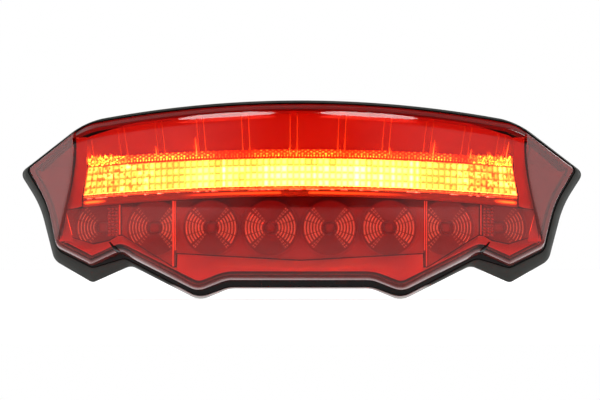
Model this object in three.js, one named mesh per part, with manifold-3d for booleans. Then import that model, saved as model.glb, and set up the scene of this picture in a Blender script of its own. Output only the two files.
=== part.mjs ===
// Motorcycle tail light: a red outer lens on a black rear housing, with a lit bar, ring optics and their LED
// boards inside. Millimetres. +X right, +Z up, the lens faces -Y. The origin is the middle of the flat pad
// on the housing's back that meets the motorcycle.

import * as THREE from "three";
import { mergeVertices } from "three/addons/utils/BufferGeometryUtils.js";
import Module from "manifold-3d";

const wasm = await Module();
wasm.setup();

// ----------------------------------------------------------------------------------------------------
// Driving dimensions
// ----------------------------------------------------------------------------------------------------

const GAP = 0.3; // between pieces that touch
const WELD = 1e-3; // points nearer than this are one point
const HALF_WIDTH = 125;
const SWEEP_RADIUS = 330; // plan curve of the face and of everything behind it
const CROWN_RADIUS = 400; // the face's curve from top to bottom
const CROWN_Z = 5;

const FACE_Y = -56;
const JOINT_Y = -34; // where lens meets housing, in the middle
const JOINT_SWEEP = 22; // how much further back that joint is at the wing tips
const BACK_Y = -8; // the housing's rear wall
const MOUNT_Y = 0;

const LENS_WALL = 2.3;
const HOUSING_WALL = 2.4;
const HOUSING_DRAFT = 2.2; // depth gained per millimetre inwards on the housing's sides
const RIM_DROP = 3; // the rim's outer edge lies this far behind the joint
const SEAL_THICKNESS = 1;
const RIM_FLOOR = SEAL_THICKNESS + 2 * GAP;
const LIP_RISE = 0.2;
const SEAT_WIDTH = 3.2; // how far the housing's seat reaches in under the lens's edge

const CREASE_TOP = [102, 29]; // the fold between the face and a wing
const CREASE_FOOT = [109, -22];
const WING_SLOPE = 1.2;
const EDGE_ROUNDING = 4; // blend depth where the face meets its bevels

// Corners of the right half of an outline, from the bottom's middle round to the top's. "trim" is how much of
// each neighbouring edge the corner's curve takes; "bevel" is the front view width of the lens's bevel on the
// edge that starts there and on the one that ends there.
const LENS_OUTLINE = {
  bottomZ: -36.1,
  topZ: 42.9,
  topRadius: 500,
  corners: {
    flat: { x: 32.4, z: -36.1, trim: 2.5, bevel: [2.8, 2.8] },
    low: { x: 45.5, z: -41.2, trim: 4, bevel: [2.6, 2.6] },
    notch: { x: 80.5, z: -23.9, trim: 1.5, bevel: [6.2, 4.5] },
    footTip: { x: 93.5, z: -29.8, trim: 1.2, bevel: [4.8, 4.8] },
    footOuter: { x: 108.7, z: -22.1, trim: 2.2, bevel: [3.5, 0.8] },
    waist: { x: 113.7, z: -1.2, trim: 6.5, bevel: [0.8, 0.8] },
    tip: { x: 122.6, z: 13.9, trim: 2, bevel: [1, 1] },
    shoulder: { x: 96.6, z: 33.6, trim: 8.5, bevel: [1.2, 7] },
  },
};
const RIM_OUTLINE = {
  bottomZ: -39.1,
  topZ: 44.5,
  topRadius: 493,
  corners: {
    flat: { x: 31.7, z: -39.1, trim: 2.5 },
    low: { x: 45, z: -45.1, trim: 4.5 },
    notch: { x: 76, z: -29.4, trim: 2.4 },
    footTip: { x: 93.5, z: -37.2, trim: 1.6 },
    footOuter: { x: 110.5, z: -27.2, trim: 3 },
    waist: { x: 116.9, z: -1.6, trim: 7 },
    tip: { x: 126, z: 13, trim: 3.6 },
    shoulder: { x: 97.3, z: 34.9, trim: 9 },
  },
};
// How far the seal's edge shows past the lens, as a share of the way from the lens to the rim's edge.
const SEAL_SHARE = {
  bottom: 0.6,
  flat: 0.6,
  low: 0.5,
  notch: 0.3,
  footTip: 0.1,
  footOuter: 0.14,
  waist: 0.18,
  tip: 0.2,
  shoulder: 0.3,
  top: 0.25,
};

// The order of the corners, then how many samples each edge and each corner's curve takes.
const CORNER_ORDER = ["flat", "low", "notch", "footTip", "footOuter", "waist", "tip", "shoulder"];
const EDGE_STEPS = [4, 1, 4, 2, 3, 4, 2];
const CURVE_STEPS = [1, 3, 1, 1, 2, 3];
const MIN_TRIM = 0.8;
const TRIM_GAIN = 0.4; // how much a corner's trim changes per millimetre of inset
const TIP_STEPS = 2;
const SHOULDER_STEPS = 4;
const SKIN_ROWS = [0, 0.035, 0.075, 0.17, 0.36, 0.62, 0.82, 0.9, 0.95, 1];

const BAR_STEPS = 28; // samples along the bar and its neighbours
const BAR = { z: 12.5, height: 12.7, radius: 1085, halfLength: 97, frontY: -47, thickness: 5 };
const PILLOW = { rows: 4, depth: 0.9 };
const BAR_BOARD = { y: -39.5, thickness: 0.8, height: 8, inset: 2 };
const BAR_LED = { count: 6, pitch: 30, side: 3, depth: 1.4, lift: 0.5 };
const LEDGE = { bottomZ: 1.6, drop: 1890, frontY: -48.5, backY: -38 };

const REFLECTOR = { bottomY: -45, topY: -41, wall: 1.6, belowTop: 9, halfWidth: 100 };
// The ribs stand closer together towards the ends: each one's place is centre + pitch k - closing k |k|.
const RIB = { width: 2.8, height: 1.2, flank: 0.35, centre: -2.6, pitch: 22.1, closing: 0.7, perSide: 5 };

const LAMP = { x: [13.2, 39.7, 65.2, 88.5], z: -12.3 };
const TRAY = { frontY: -37, wall: 1.5, holeRadius: 3.6 };
const OPTIC = { outer: 12, inner: 3.2, base: 0.8, bowl: 2.4, ridge: 0.6, ridges: 3, crest: 0.7, reach: 8 };
const LED = { side: 3.6, depth: 2.4 };
const BOARD = { frontY: -31.8, thickness: 1.6, belowLamp: 3.5, aboveLamp: 10, edge: 2 };
const DIVIDER = { x: [56.1, 80.7], bottomZ: [-29.6, -15.5], thickness: 1.3, frontY: -47 };
const BEZEL = { topY: -38, forward: 7, forwardAtFeet: 2, wall: 1.6, insideLens: 4.8 };
// The panel's lower edge runs from foot to side, and its upper edge from top to tip.
const WING_PANEL = {
  clearance: 1.5,
  wall: 1.4,
  foot: [107, -14.5],
  side: [112, 4.2],
  top: [103.4, 23.4],
  tip: [117.2, 13.9],
};

const POST_RADIUS = 3;
const SCREW = { z: -5, crown: 1.8, headRadius: 2.6, headHeight: 1.8, shank: 1.25, length: 10, hole: 1.6 };
const STUD = { radius: 3, depth: 8, length: 14, chamfer: 0.8 };
const BOSS_RADIUS = 6.5;
const MOUNT_BOSSES = [[-48, 16], [48, 16], [-42, -19], [42, -19]];
const PAD = { width: 22, height: 12 };
const REAR_RIB = { width: 1.6, height: 2 };
const LONG_RIBS = [{ z: 0, halfLength: 98 }, { z: 25, halfLength: 74 }];
const UPRIGHT_RIBS = { x: [26, 62, 88], bottomZ: -14, topZ: 25 };
const SOCKET = { z: -22, width: 24, height: 13, wall: 1.6, endY: 7, flange: 1.5, overlap: 2.5, floor: 5 };
const HEADER = { width: 10, height: 7, depth: 3, y: 3 };
const PIN = { side: 1, pitch: 3.4, perRow: 3, rowSpacing: 4, length: 8 };
const CHIP = { width: 8, height: 6, depth: 1.6, x: -8, z: -8 };
const CAPACITOR = { radius: 4, length: 9, x: 10, z: -10 };
const VENT = { z: 15.5, radius: 6, height: 3, bore: 2 };

// ----------------------------------------------------------------------------------------------------
// Outlines in the front view
// ----------------------------------------------------------------------------------------------------

const lerp = (a, b, t) => a + (b - a) * t;
const point = (x, z) => new THREE.Vector2(x, z);

// Evenly spaced values from one end to the other, both included.
function range(from, to, steps) {
  return Array.from({ length: steps + 1 }, (_, i) => lerp(from, to, i / steps));
}

// A point this far along the straight line from a towards b.
function towards(a, b, distance) {
  return b.clone().sub(a).setLength(distance).add(a);
}

// Adds points on the line from..to, leaving out its first, each with the bevel width there.
function addLine(path, from, to, steps, bevelFrom, bevelTo) {
  for (let i = 1; i <= steps; i++) {
    const t = i / steps;
    path.push({ p: from.clone().lerp(to, t), bevel: lerp(bevelFrom, bevelTo, t) });
  }
}

// The same on a curve with one control point.
function addCurve(path, from, control, to, steps, bevelFrom, bevelTo) {
  const curve = new THREE.QuadraticBezierCurve(from, control, to);
  for (let i = 1; i <= steps; i++) {
    const t = i / steps;
    path.push({ p: curve.getPoint(t), bevel: lerp(bevelFrom, bevelTo, t) });
  }
}

// The right half of an outline as two lists of the same length, from the middle out to the wing tip. The
// lower list pairs with the upper one, point for point: the foot's outer corner with the shoulder, where the
// crease runs, and the side with the wing's top.
function halfOutline(outline) {
  const at = (name) => point(outline.corners[name].x, outline.corners[name].z);
  const bevel = (name, side) => (outline.corners[name].bevel ?? [0, 0])[side];
  const middle = point(0, outline.bottomZ);
  const lower = [{ p: middle, bevel: bevel("flat", 0) }];
  let from = middle;
  let lastBevel = bevel("flat", 0);
  let creaseAt = 0;
  CORNER_ORDER.slice(0, 6).forEach((name, i) => {
    const corner = at(name);
    const { trim } = outline.corners[name];
    const next = at(CORNER_ORDER[i + 1]);
    const into = towards(corner, from, trim);
    const out = towards(corner, next, trim);
    addLine(lower, from, into, EDGE_STEPS[i], lastBevel, bevel(name, 0));
    addCurve(lower, into, corner, out, CURVE_STEPS[i], bevel(name, 0), bevel(name, 1));
    from = out;
    lastBevel = bevel(name, 1);
    if (name === "footOuter") creaseAt = lower.length - 1;
  });

  const tip = at("tip");
  const shoulder = at("shoulder");
  const tipTrim = outline.corners.tip.trim;
  const sideEnd = towards(tip, from, tipTrim);
  const wingStart = towards(tip, shoulder, tipTrim);
  const nose = new THREE.QuadraticBezierCurve(sideEnd, tip, wingStart).getPoint(0.5);
  const tipBevel = bevel("tip", 1);
  addLine(lower, from, sideEnd, EDGE_STEPS[6], lastBevel, bevel("tip", 0));
  addCurve(lower, sideEnd, towards(tip, sideEnd, tipTrim / 2), nose, TIP_STEPS, bevel("tip", 0), tipBevel);

  // The top is an arc, then come the shoulder's curve and the wing's straight edge.
  const arcZ = (x) => outline.topZ - (x * x) / (2 * outline.topRadius);
  const { trim } = outline.corners.shoulder;
  const arcEnd = point(shoulder.x - trim, arcZ(shoulder.x - trim));
  const wingFrom = towards(shoulder, tip, trim);
  const arcSteps = creaseAt - SHOULDER_STEPS;
  const browBevel = bevel("shoulder", 1);
  const upper = range(0, arcEnd.x, arcSteps).map((x) => ({ p: point(x, arcZ(x)), bevel: browBevel }));
  addCurve(upper, arcEnd, shoulder, wingFrom, SHOULDER_STEPS, browBevel, browBevel);
  const wingSteps = lower.length - 1 - creaseAt - TIP_STEPS;
  addLine(upper, wingFrom, wingStart, wingSteps, bevel("shoulder", 0), tipBevel);
  addCurve(upper, wingStart, towards(tip, wingStart, tipTrim / 2), nose, TIP_STEPS, tipBevel, tipBevel);
  return { lower, upper };
}

// Both lists of the whole outline, from the left wing tip to the right one.
function wholeOutline(outline) {
  const half = halfOutline(outline);
  const whole = (side) => {
    const left = side.slice(1).reverse().map(({ p, bevel }) => ({ p: point(-p.x, p.y), bevel }));
    return [...left, ...side];
  };
  return { lower: whole(half.lower), upper: whole(half.upper) };
}

// The closed loop of an outline, anticlockwise from the left wing tip.
function loopOf({ lower, upper }) {
  return [...lower, ...upper.slice(1, -1).reverse()];
}

// An outline moved inwards, corner by corner, along the bisector of its edges.
function inset(outline, distance) {
  const spots = CORNER_ORDER.map((name) => point(outline.corners[name].x, outline.corners[name].z));
  const inward = (a, b) => {
    const along = b.clone().sub(a).normalize();
    return point(-along.y, along.x);
  };
  const corners = {};
  CORNER_ORDER.forEach((name, i) => {
    const here = spots[i];
    const before = spots[i - 1] ?? point(0, outline.bottomZ);
    const after = spots[i + 1] ?? point(here.x - outline.topRadius / here.x, here.y + 1);
    const n1 = inward(before, here);
    const n2 = inward(here, after);
    const miter = n1.clone().add(n2).divideScalar(1 + n1.dot(n2));
    const moved = here.clone().addScaledVector(miter, distance);
    const tightening = n1.cross(n2) > 0 ? -TRIM_GAIN : TRIM_GAIN;
    const trim = Math.max(MIN_TRIM, outline.corners[name].trim + tightening * distance);
    corners[name] = { ...outline.corners[name], x: moved.x, z: moved.y, trim };
  });
  return {
    bottomZ: outline.bottomZ + distance,
    topZ: outline.topZ - distance,
    topRadius: outline.topRadius,
    corners,
  };
}

// The outline a share of the way from one outline to another, corner by corner.
function between(a, b, share) {
  const corners = {};
  for (const name of CORNER_ORDER) {
    const [p, q, t] = [a.corners[name], b.corners[name], share[name]];
    corners[name] = { x: lerp(p.x, q.x, t), z: lerp(p.z, q.z, t), trim: lerp(p.trim, q.trim, t) };
  }
  return {
    bottomZ: lerp(a.bottomZ, b.bottomZ, share.bottom),
    topZ: lerp(a.topZ, b.topZ, share.top),
    topRadius: lerp(a.topRadius, b.topRadius, share.top),
    corners,
  };
}

// A broken line mirrored to the left side, and one made whole from its right half.
function flipped(line) {
  return line.map(([x, z]) => [-x, z]).reverse();
}

function mirrored(line) {
  return [...flipped(line.slice(1)), ...line];
}

// The height of a broken line above x.
function lineZ(line, x) {
  const i = Math.max(1, line.findIndex(([px]) => px >= x - WELD));
  const [a, b] = [line[i - 1], line[i]];
  return lerp(a[1], b[1], (x - a[0]) / (b[0] - a[0]));
}

// How far inside a loop a point is, and the bevel width at the nearest spot of the loop.
function nearest(loop, x, z) {
  let best = { distance: Infinity, bevel: 0 };
  for (let i = 0; i < loop.length; i++) {
    const a = loop[i];
    const b = loop[(i + 1) % loop.length];
    const ex = b.p.x - a.p.x;
    const ez = b.p.y - a.p.y;
    const t = THREE.MathUtils.clamp(((x - a.p.x) * ex + (z - a.p.y) * ez) / (ex * ex + ez * ez), 0, 1);
    const distance = Math.hypot(x - a.p.x - t * ex, z - a.p.y - t * ez);
    if (distance < best.distance) best = { distance, bevel: lerp(a.bevel, b.bevel, t) };
  }
  return best;
}

// ----------------------------------------------------------------------------------------------------
// Depths: y as a function of the place in the front view
// ----------------------------------------------------------------------------------------------------

const sweep = (x) => (x * x) / (2 * SWEEP_RADIUS);
const jointY = (x) => JOINT_Y + JOINT_SWEEP * (x / HALF_WIDTH) ** 2;

function smoothMax(a, b, k) {
  const h = Math.max(k - Math.abs(a - b), 0) / k;
  return Math.max(a, b) + (h * h * k) / 4;
}

const smoothMin = (a, b, k) => -smoothMax(-a, -b, k);

function creaseX(z) {
  const [topX, topZ] = CREASE_TOP;
  const [footX, footZ] = CREASE_FOOT;
  return lerp(footX, topX, (z - footZ) / (topZ - footZ));
}

// The face: swept and crowned in the middle, falling away past the creases.
function faceY(x, z) {
  const side = Math.abs(x);
  const crease = creaseX(z);
  const middle = FACE_Y + sweep(Math.min(side, crease)) + (z - CROWN_Z) ** 2 / (2 * CROWN_RADIUS);
  return middle + WING_SLOPE * Math.max(0, side - crease);
}

const LENS_EDGE = wholeOutline(LENS_OUTLINE);
const LENS_LOOP = loopOf(LENS_EDGE);
const RIM_EDGE = wholeOutline(RIM_OUTLINE);
const RIM_LOOP = loopOf(RIM_EDGE);

// The lens's skin, moved inwards by depth along its own normal.
function lensY(x, z, depth) {
  const { distance, bevel } = nearest(LENS_LOOP, x, z);
  const joint = jointY(x);
  const face = faceY(x, z);
  const slope = (joint - face) / bevel;
  const wall = joint - slope * distance + depth * Math.hypot(1, slope);
  return Math.min(smoothMax(face + depth, wall, EDGE_ROUNDING), joint);
}

// The housing's skin, moved inwards by depth.
function housingY(x, z, depth) {
  const { distance } = nearest(RIM_LOOP, x, z);
  const wall = jointY(x) + RIM_DROP + HOUSING_DRAFT * distance - depth * Math.hypot(1, HOUSING_DRAFT);
  return smoothMin(BACK_Y - depth, wall, EDGE_ROUNDING);
}

// ----------------------------------------------------------------------------------------------------
// Solids
// ----------------------------------------------------------------------------------------------------

// A grid of points ruled between an outline's lower and upper lists, with y from depth(x, z).
function ruledGrid(edge, rows, depth) {
  return rows.map((t) =>
    edge.lower.map(({ p }, i) => {
      const q = edge.upper[i].p;
      const x = lerp(p.x, q.x, t);
      const z = lerp(p.y, q.y, t);
      return new THREE.Vector3(x, depth(x, z), z);
    }),
  );
}

// The border of a grid, once round. A side whose rows all meet in one point gives that point once.
function borderOf(grid) {
  const last = grid.length - 1;
  const loop = [...grid[0]];
  for (let j = 1; j < last; j++) loop.push(grid[j].at(-1));
  loop.push(...grid[last].toReversed());
  for (let j = last - 1; j > 0; j--) loop.push(grid[j][0]);
  return loop.filter((p, i) => p.distanceTo(loop[(i + 1) % loop.length]) > WELD);
}

class Faces {
  constructor() {
    this.positions = [];
  }
  triangle(a, b, c) {
    const flat = a.distanceTo(b) < WELD || b.distanceTo(c) < WELD || c.distanceTo(a) < WELD;
    if (!flat) this.positions.push(...a.toArray(), ...b.toArray(), ...c.toArray());
  }
  quad(a, b, c, d) {
    this.triangle(a, b, c);
    this.triangle(a, c, d);
  }
  grid(rows, flip = false) {
    for (let j = 0; j + 1 < rows.length; j++)
      for (let i = 0; i + 1 < rows[j].length; i++) {
        const [a, b, c, d] = [rows[j][i], rows[j][i + 1], rows[j + 1][i + 1], rows[j + 1][i]];
        if (flip) this.quad(a, d, c, b);
        else this.quad(a, b, c, d);
      }
  }
  // Strips from each closed ring of points to the next.
  rings(rings) {
    for (let k = 0; k + 1 < rings.length; k++)
      for (let i = 0; i < rings[k].length; i++) {
        const j = (i + 1) % rings[k].length;
        this.quad(rings[k][i], rings[k + 1][i], rings[k + 1][j], rings[k][j]);
      }
  }
  geometry() {
    const raw = new THREE.BufferGeometry();
    raw.setAttribute("position", new THREE.Float32BufferAttribute(this.positions, 3));
    return mergeVertices(raw, WELD);
  }
}

// A closed body with a front grid that faces -Y, a back grid that faces +Y, and rings between their borders.
function shell(front, back, rings = []) {
  const faces = new Faces();
  faces.grid(front);
  faces.grid(back, true);
  faces.rings([borderOf(front), ...rings, borderOf(back)]);
  return faces.geometry();
}

// A plate between two lines in the front view, given as functions of x, with its front and back depths.
function plate({ stations, rows = [0, 1], bottom, top, front, back }) {
  const edge = {
    lower: stations.map((x) => ({ p: point(x, bottom(x)) })),
    upper: stations.map((x) => ({ p: point(x, top(x)) })),
  };
  return shell(ruledGrid(edge, rows, front), ruledGrid(edge, rows, back));
}

function solidOf(geometry) {
  const bare = geometry.index ? geometry.toNonIndexed() : geometry.clone();
  bare.deleteAttribute("normal");
  bare.deleteAttribute("uv");
  const merged = mergeVertices(bare, WELD);
  return new wasm.Manifold(
    new wasm.Mesh({
      numProp: 3,
      vertProperties: new Float32Array(merged.attributes.position.array),
      triVerts: new Uint32Array(merged.index.array),
    }),
  );
}

function geometryOf(solid) {
  const mesh = solid.getMesh();
  const geometry = new THREE.BufferGeometry();
  geometry.setAttribute("position", new THREE.BufferAttribute(new Float32Array(mesh.vertProperties), 3));
  geometry.setIndex(new THREE.BufferAttribute(new Uint32Array(mesh.triVerts), 1));
  return geometry;
}

// A geometry with others joined to it and then others cut from it.
function carve(geometry, added, removed) {
  let solid = solidOf(geometry);
  for (const more of added) solid = solid.add(solidOf(more));
  for (const less of removed) solid = solid.subtract(solidOf(less));
  return geometryOf(solid);
}

function box(width, depth, height, x, y, z) {
  return new THREE.BoxGeometry(width, depth, height).translate(x, y, z);
}

// A cylinder along Y from y0 to y1.
function rod(radius, x, z, y0, y1, sides = 20) {
  return new THREE.CylinderGeometry(radius, radius, y1 - y0, sides).translate(x, (y0 + y1) / 2, z);
}

// A turned body about Y: profile is [radius, y] pairs in order, closed on itself or ending on the axis.
function turned(profile, sides) {
  const points = profile.map(([r, y]) => point(r, y));
  return new THREE.LatheGeometry(points, sides);
}

// ----------------------------------------------------------------------------------------------------
// Casing: lens, seal and housing
// ----------------------------------------------------------------------------------------------------

function makeLens() {
  const outer = ruledGrid(LENS_EDGE, SKIN_ROWS, (x, z) => lensY(x, z, 0));
  const inner = ruledGrid(wholeOutline(inset(LENS_OUTLINE, LENS_WALL)), SKIN_ROWS, (x, z) =>
    lensY(x, z, LENS_WALL),
  );
  return shell(outer, inner);
}

// The ring of an outline's loop, at a depth behind the joint.
function ringOf(outline, behind) {
  return loopOf(wholeOutline(outline)).map(({ p }) => new THREE.Vector3(p.x, jointY(p.x) + behind, p.y));
}

const SEAL_OUTLINE = between(LENS_OUTLINE, RIM_OUTLINE, SEAL_SHARE);
const LIP_OUTLINE = inset(SEAL_OUTLINE, -GAP);
const SEAT_OUTLINE = inset(LENS_OUTLINE, SEAT_WIDTH);
const SEAL_INNER = inset(LENS_OUTLINE, LENS_WALL + GAP);

function makeSeal() {
  const front = GAP;
  const back = GAP + SEAL_THICKNESS;
  const faces = new Faces();
  const loop = [
    ringOf(SEAL_OUTLINE, front),
    ringOf(SEAL_OUTLINE, back),
    ringOf(SEAL_INNER, back),
    ringOf(SEAL_INNER, front),
  ];
  faces.rings([...loop, loop[0]]);
  return faces.geometry();
}

// Stiffening ribs that stand on the housing's rear wall.
function makeRearRibs() {
  const depth = REAR_RIB.height + HOUSING_WALL / 2;
  const y = BACK_Y + REAR_RIB.height - depth / 2;
  const { bottomZ, topZ } = UPRIGHT_RIBS;
  const middle = (topZ + bottomZ) / 2;
  const long = LONG_RIBS.map(({ z, halfLength }) => box(2 * halfLength, depth, REAR_RIB.width, 0, y, z));
  const both = UPRIGHT_RIBS.x.flatMap((x) => [-x, x]);
  const upright = both.map((x) => box(REAR_RIB.width, depth, topZ - bottomZ, x, y, middle));
  return [...long, ...upright];
}

// The shell of the housing, with the seat that the seal lies on and the lip round it.
function makeTub() {
  const seatY = (x) => jointY(x) + RIM_FLOOR;
  const floorY = (x, z) => Math.max(housingY(x, z, HOUSING_WALL), seatY(x) + GAP);
  const rear = ruledGrid(RIM_EDGE, SKIN_ROWS, (x, z) => housingY(x, z, 0));
  const inside = ruledGrid(wholeOutline(SEAT_OUTLINE), SKIN_ROWS, floorY);
  const seat = [ringOf(SEAT_OUTLINE, RIM_FLOOR), ringOf(LIP_OUTLINE, RIM_FLOOR)];
  return shell(inside, rear, [...seat, ringOf(LIP_OUTLINE, LIP_RISE)]);
}

function makeHousing() {
  const wallMiddle = BACK_Y - HOUSING_WALL / 2;
  const boreFloor = MOUNT_Y - STUD.depth - GAP;
  const bosses = MOUNT_BOSSES.map(([x, z]) => rod(BOSS_RADIUS, x, z, wallMiddle, MOUNT_Y));
  const bores = MOUNT_BOSSES.map(([x, z]) => rod(STUD.radius + GAP, x, z, boreFloor, MOUNT_Y + 1));
  const pad = box(PAD.width, MOUNT_Y - wallMiddle, PAD.height, 0, (MOUNT_Y + wallMiddle) / 2, 0);
  const posts = BOARD_SCREWS.map(({ x, z, y }) => rod(POST_RADIUS, x, z, y + GAP, wallMiddle, 12));
  const pilots = BOARD_SCREWS.map(({ x, z, y }) => rod(SCREW.hole, x, z, y - 1, y + SCREW.length, 12));
  const windowWidth = SOCKET.width + 2 * GAP;
  const windowHeight = SOCKET.height + 2 * GAP;
  const window = box(windowWidth, 4 * HOUSING_WALL, windowHeight, 0, BACK_Y, SOCKET.z);
  const ventBore = rod(VENT.bore, 0, VENT.z, BACK_Y - 2 * HOUSING_WALL, BACK_Y + 1, 12);
  const added = [...makeRearRibs(), ...bosses, pad, ...posts];
  return carve(makeTub(), added, [...bores, ...pilots, window, ventBore]);
}

// ----------------------------------------------------------------------------------------------------
// Lit bar, its ledge and the upper reflector
// ----------------------------------------------------------------------------------------------------

const barZ = (x) => BAR.z - (x * x) / (2 * BAR.radius);
const barTop = (x) => barZ(x) + BAR.height / 2;
const barBottom = (x) => barZ(x) - BAR.height / 2;

// The bar's lens, with rows of pillows that run its whole length.
function makeBarLens() {
  const scallop = (x, z) => {
    const row = ((z - barBottom(x)) / BAR.height) * PILLOW.rows;
    return PILLOW.depth * Math.abs(Math.cos(Math.PI * row));
  };
  return plate({
    stations: range(-BAR.halfLength, BAR.halfLength, BAR_STEPS),
    rows: range(0, 1, 2 * PILLOW.rows),
    bottom: barBottom,
    top: barTop,
    front: (x, z) => BAR.frontY + sweep(x) + scallop(x, z),
    back: (x) => BAR.frontY + BAR.thickness + sweep(x),
  });
}

function makeBarBoard() {
  const end = BAR.halfLength - BAR_BOARD.inset;
  return plate({
    stations: range(-end, end, BAR_STEPS),
    bottom: (x) => barZ(x) - BAR_BOARD.height / 2,
    top: (x) => barZ(x) + BAR_BOARD.height / 2,
    front: (x) => BAR_BOARD.y + sweep(x),
    back: (x) => BAR_BOARD.y + BAR_BOARD.thickness + sweep(x),
  });
}

const ledgeBottom = (x) => LEDGE.bottomZ - (x * x) / LEDGE.drop;

function makeLedge() {
  return plate({
    stations: range(-BAR.halfLength, BAR.halfLength, BAR_STEPS),
    bottom: ledgeBottom,
    top: (x) => barBottom(x) - GAP,
    front: (x) => LEDGE.frontY + sweep(x),
    back: (x) => LEDGE.backY + sweep(x),
  });
}

// The height of the lens's top edge above a place on the X axis.
const LENS_TOP = LENS_EDGE.upper.map(({ p }) => p.toArray());
const reflectorTop = (x) => lineZ(LENS_TOP, x) - REFLECTOR.belowTop;
const reflectorBottom = (x) => barTop(x) + GAP;

// A wall that leans back above the bar, with upright ribs that fan out.
function makeUpperReflector() {
  const centres = range(-RIB.perSide, RIB.perSide, 2 * RIB.perSide)
    .map((k) => RIB.centre + RIB.pitch * k - RIB.closing * k * Math.abs(k));
  const half = RIB.width / 2;
  const flanks = centres.flatMap((c) => [c - half - RIB.flank, c - half, c + half, c + half + RIB.flank]);
  const onRib = (x) => centres.some((c) => Math.abs(x - c) < half + RIB.flank / 2);
  const lean = (x, z) => {
    const rise = (z - reflectorBottom(x)) / (reflectorTop(x) - reflectorBottom(x));
    return lerp(REFLECTOR.bottomY, REFLECTOR.topY, rise) + sweep(x);
  };
  return plate({
    stations: [-REFLECTOR.halfWidth, ...flanks, REFLECTOR.halfWidth].sort((a, b) => a - b),
    bottom: reflectorBottom,
    top: reflectorTop,
    front: (x, z) => lean(x, z) - (onRib(x) ? RIB.height : 0),
    back: (x, z) => lean(x, z) + REFLECTOR.wall,
  });
}

// ----------------------------------------------------------------------------------------------------
// Lamp trays, ring optics, LEDs and boards
// ----------------------------------------------------------------------------------------------------

// Each cell is a flat pocket that carries one or more lamps; "lift" moves it back along the sweep, and
// "lower" is its bottom edge.
const CENTER_LIFT = 1.2;
const FOOT_EDGE = [[81.7, -15.6], [85.5, -17.8], [93, -19.4], [102.3, -16.6], [105, -8]];
const SIDE_EDGE = [[57.1, -29.6], [79.7, -15.4]];
const CELLS = [
  { name: "center", lamps: [-LAMP.x[1], -LAMP.x[0], LAMP.x[0], LAMP.x[1]], lift: CENTER_LIFT,
    lower: mirrored([[0, -26.6], [55.1, -23.6]]) },
  { name: "right", lamps: [LAMP.x[2]], lift: sweep(LAMP.x[2]), lower: SIDE_EDGE },
  { name: "left", lamps: [-LAMP.x[2]], lift: sweep(LAMP.x[2]), lower: flipped(SIDE_EDGE) },
  { name: "foot_right", lamps: [LAMP.x[3]], lift: sweep(LAMP.x[3]), lower: FOOT_EDGE },
  { name: "foot_left", lamps: [-LAMP.x[3]], lift: sweep(LAMP.x[3]), lower: flipped(FOOT_EDGE) },
];

// The prism over a cell's outline from front to back.
function cellPrism({ lower }, front, back) {
  return plate({
    stations: lower.map(([x]) => x),
    bottom: (x) => lineZ(lower, x),
    top: (x) => ledgeBottom(x) - GAP,
    front: () => front,
    back: () => back,
  });
}

function makeTray(cell) {
  const y = TRAY.frontY + cell.lift;
  const flat = cellPrism(cell, y, y + TRAY.wall);
  const holes = cell.lamps.map((x) => rod(TRAY.holeRadius, x, LAMP.z, y - 2, y + TRAY.wall + 2, 16));
  return carve(flat, [], holes);
}

// A dished ring with stepped ridges that face -Y, cut off where it would run into its cell's walls.
function makeOptic(cell, x) {
  const surface = (r) => -(OPTIC.base + OPTIC.bowl * (r / OPTIC.outer) ** 2);
  const width = (OPTIC.outer - OPTIC.inner) / OPTIC.ridges;
  const profile = [[OPTIC.inner, 0]];
  for (let i = 0; i < OPTIC.ridges; i++) {
    const r = OPTIC.inner + i * width;
    profile.push([r, surface(r)], [r + width * OPTIC.crest, surface(r + width) - OPTIC.ridge]);
  }
  profile.push([OPTIC.outer, surface(OPTIC.outer)], [OPTIC.outer, 0], [OPTIC.inner, 0]);
  const seat = TRAY.frontY - GAP + cell.lift;
  const ring = solidOf(turned(profile, 24).translate(x, seat, LAMP.z));
  const walls = solidOf(cellPrism(cell, seat - OPTIC.reach, seat + 1));
  return geometryOf(ring.intersect(walls)).translate(-x, -seat, -LAMP.z);
}

const LAMPS = CELLS.flatMap((cell) => cell.lamps.map((x) => ({ x, cell }))).sort((a, b) => a.x - b.x);

const boardBack = (lift) => BOARD.frontY + BOARD.thickness + lift;
// The screws that hold the boards: y is the rear face of the board.
const BOARD_SCREWS = [-75, -26.5, 26.5, 75].map((x) => {
  const lift = Math.abs(x) < DIVIDER.x[0] ? CENTER_LIFT : sweep(LAMP.x[2]);
  return { x, z: SCREW.z, y: boardBack(lift) };
});

function makeBoard({ lift, lower }) {
  const left = lower[0][0] + BOARD.edge;
  const right = lower.at(-1)[0] - BOARD.edge;
  const bottom = LAMP.z - BOARD.belowLamp;
  const top = LAMP.z + BOARD.aboveLamp;
  const y = BOARD.frontY + BOARD.thickness / 2 + lift;
  const board = box(right - left, BOARD.thickness, top - bottom, (left + right) / 2, y, (top + bottom) / 2);
  const holes = BOARD_SCREWS.filter(({ x }) => x > left && x < right)
    .map(({ x, z, y }) => rod(SCREW.hole, x, z, y - 2 * BOARD.thickness, y + 1, 12));
  return carve(board, [], holes);
}

function makeScrew() {
  const { crown, headRadius, headHeight, shank, length } = SCREW;
  const head = [[0, -headHeight], [crown, -headHeight], [headRadius, -headHeight / 2], [headRadius, 0]];
  return turned([...head, [shank, 0], [shank, length - 1], [0, length]], 12);
}

function makeDivider(x, bottomZ) {
  const lift = sweep(x);
  const back = TRAY.frontY + lift + TRAY.wall;
  const front = DIVIDER.frontY + lift;
  const top = ledgeBottom(x) - GAP;
  return box(DIVIDER.thickness, back - front, top - bottomZ, x, (back + front) / 2, (top + bottomZ) / 2);
}

// ----------------------------------------------------------------------------------------------------
// Lower bezel and wing panels
// ----------------------------------------------------------------------------------------------------

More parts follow.
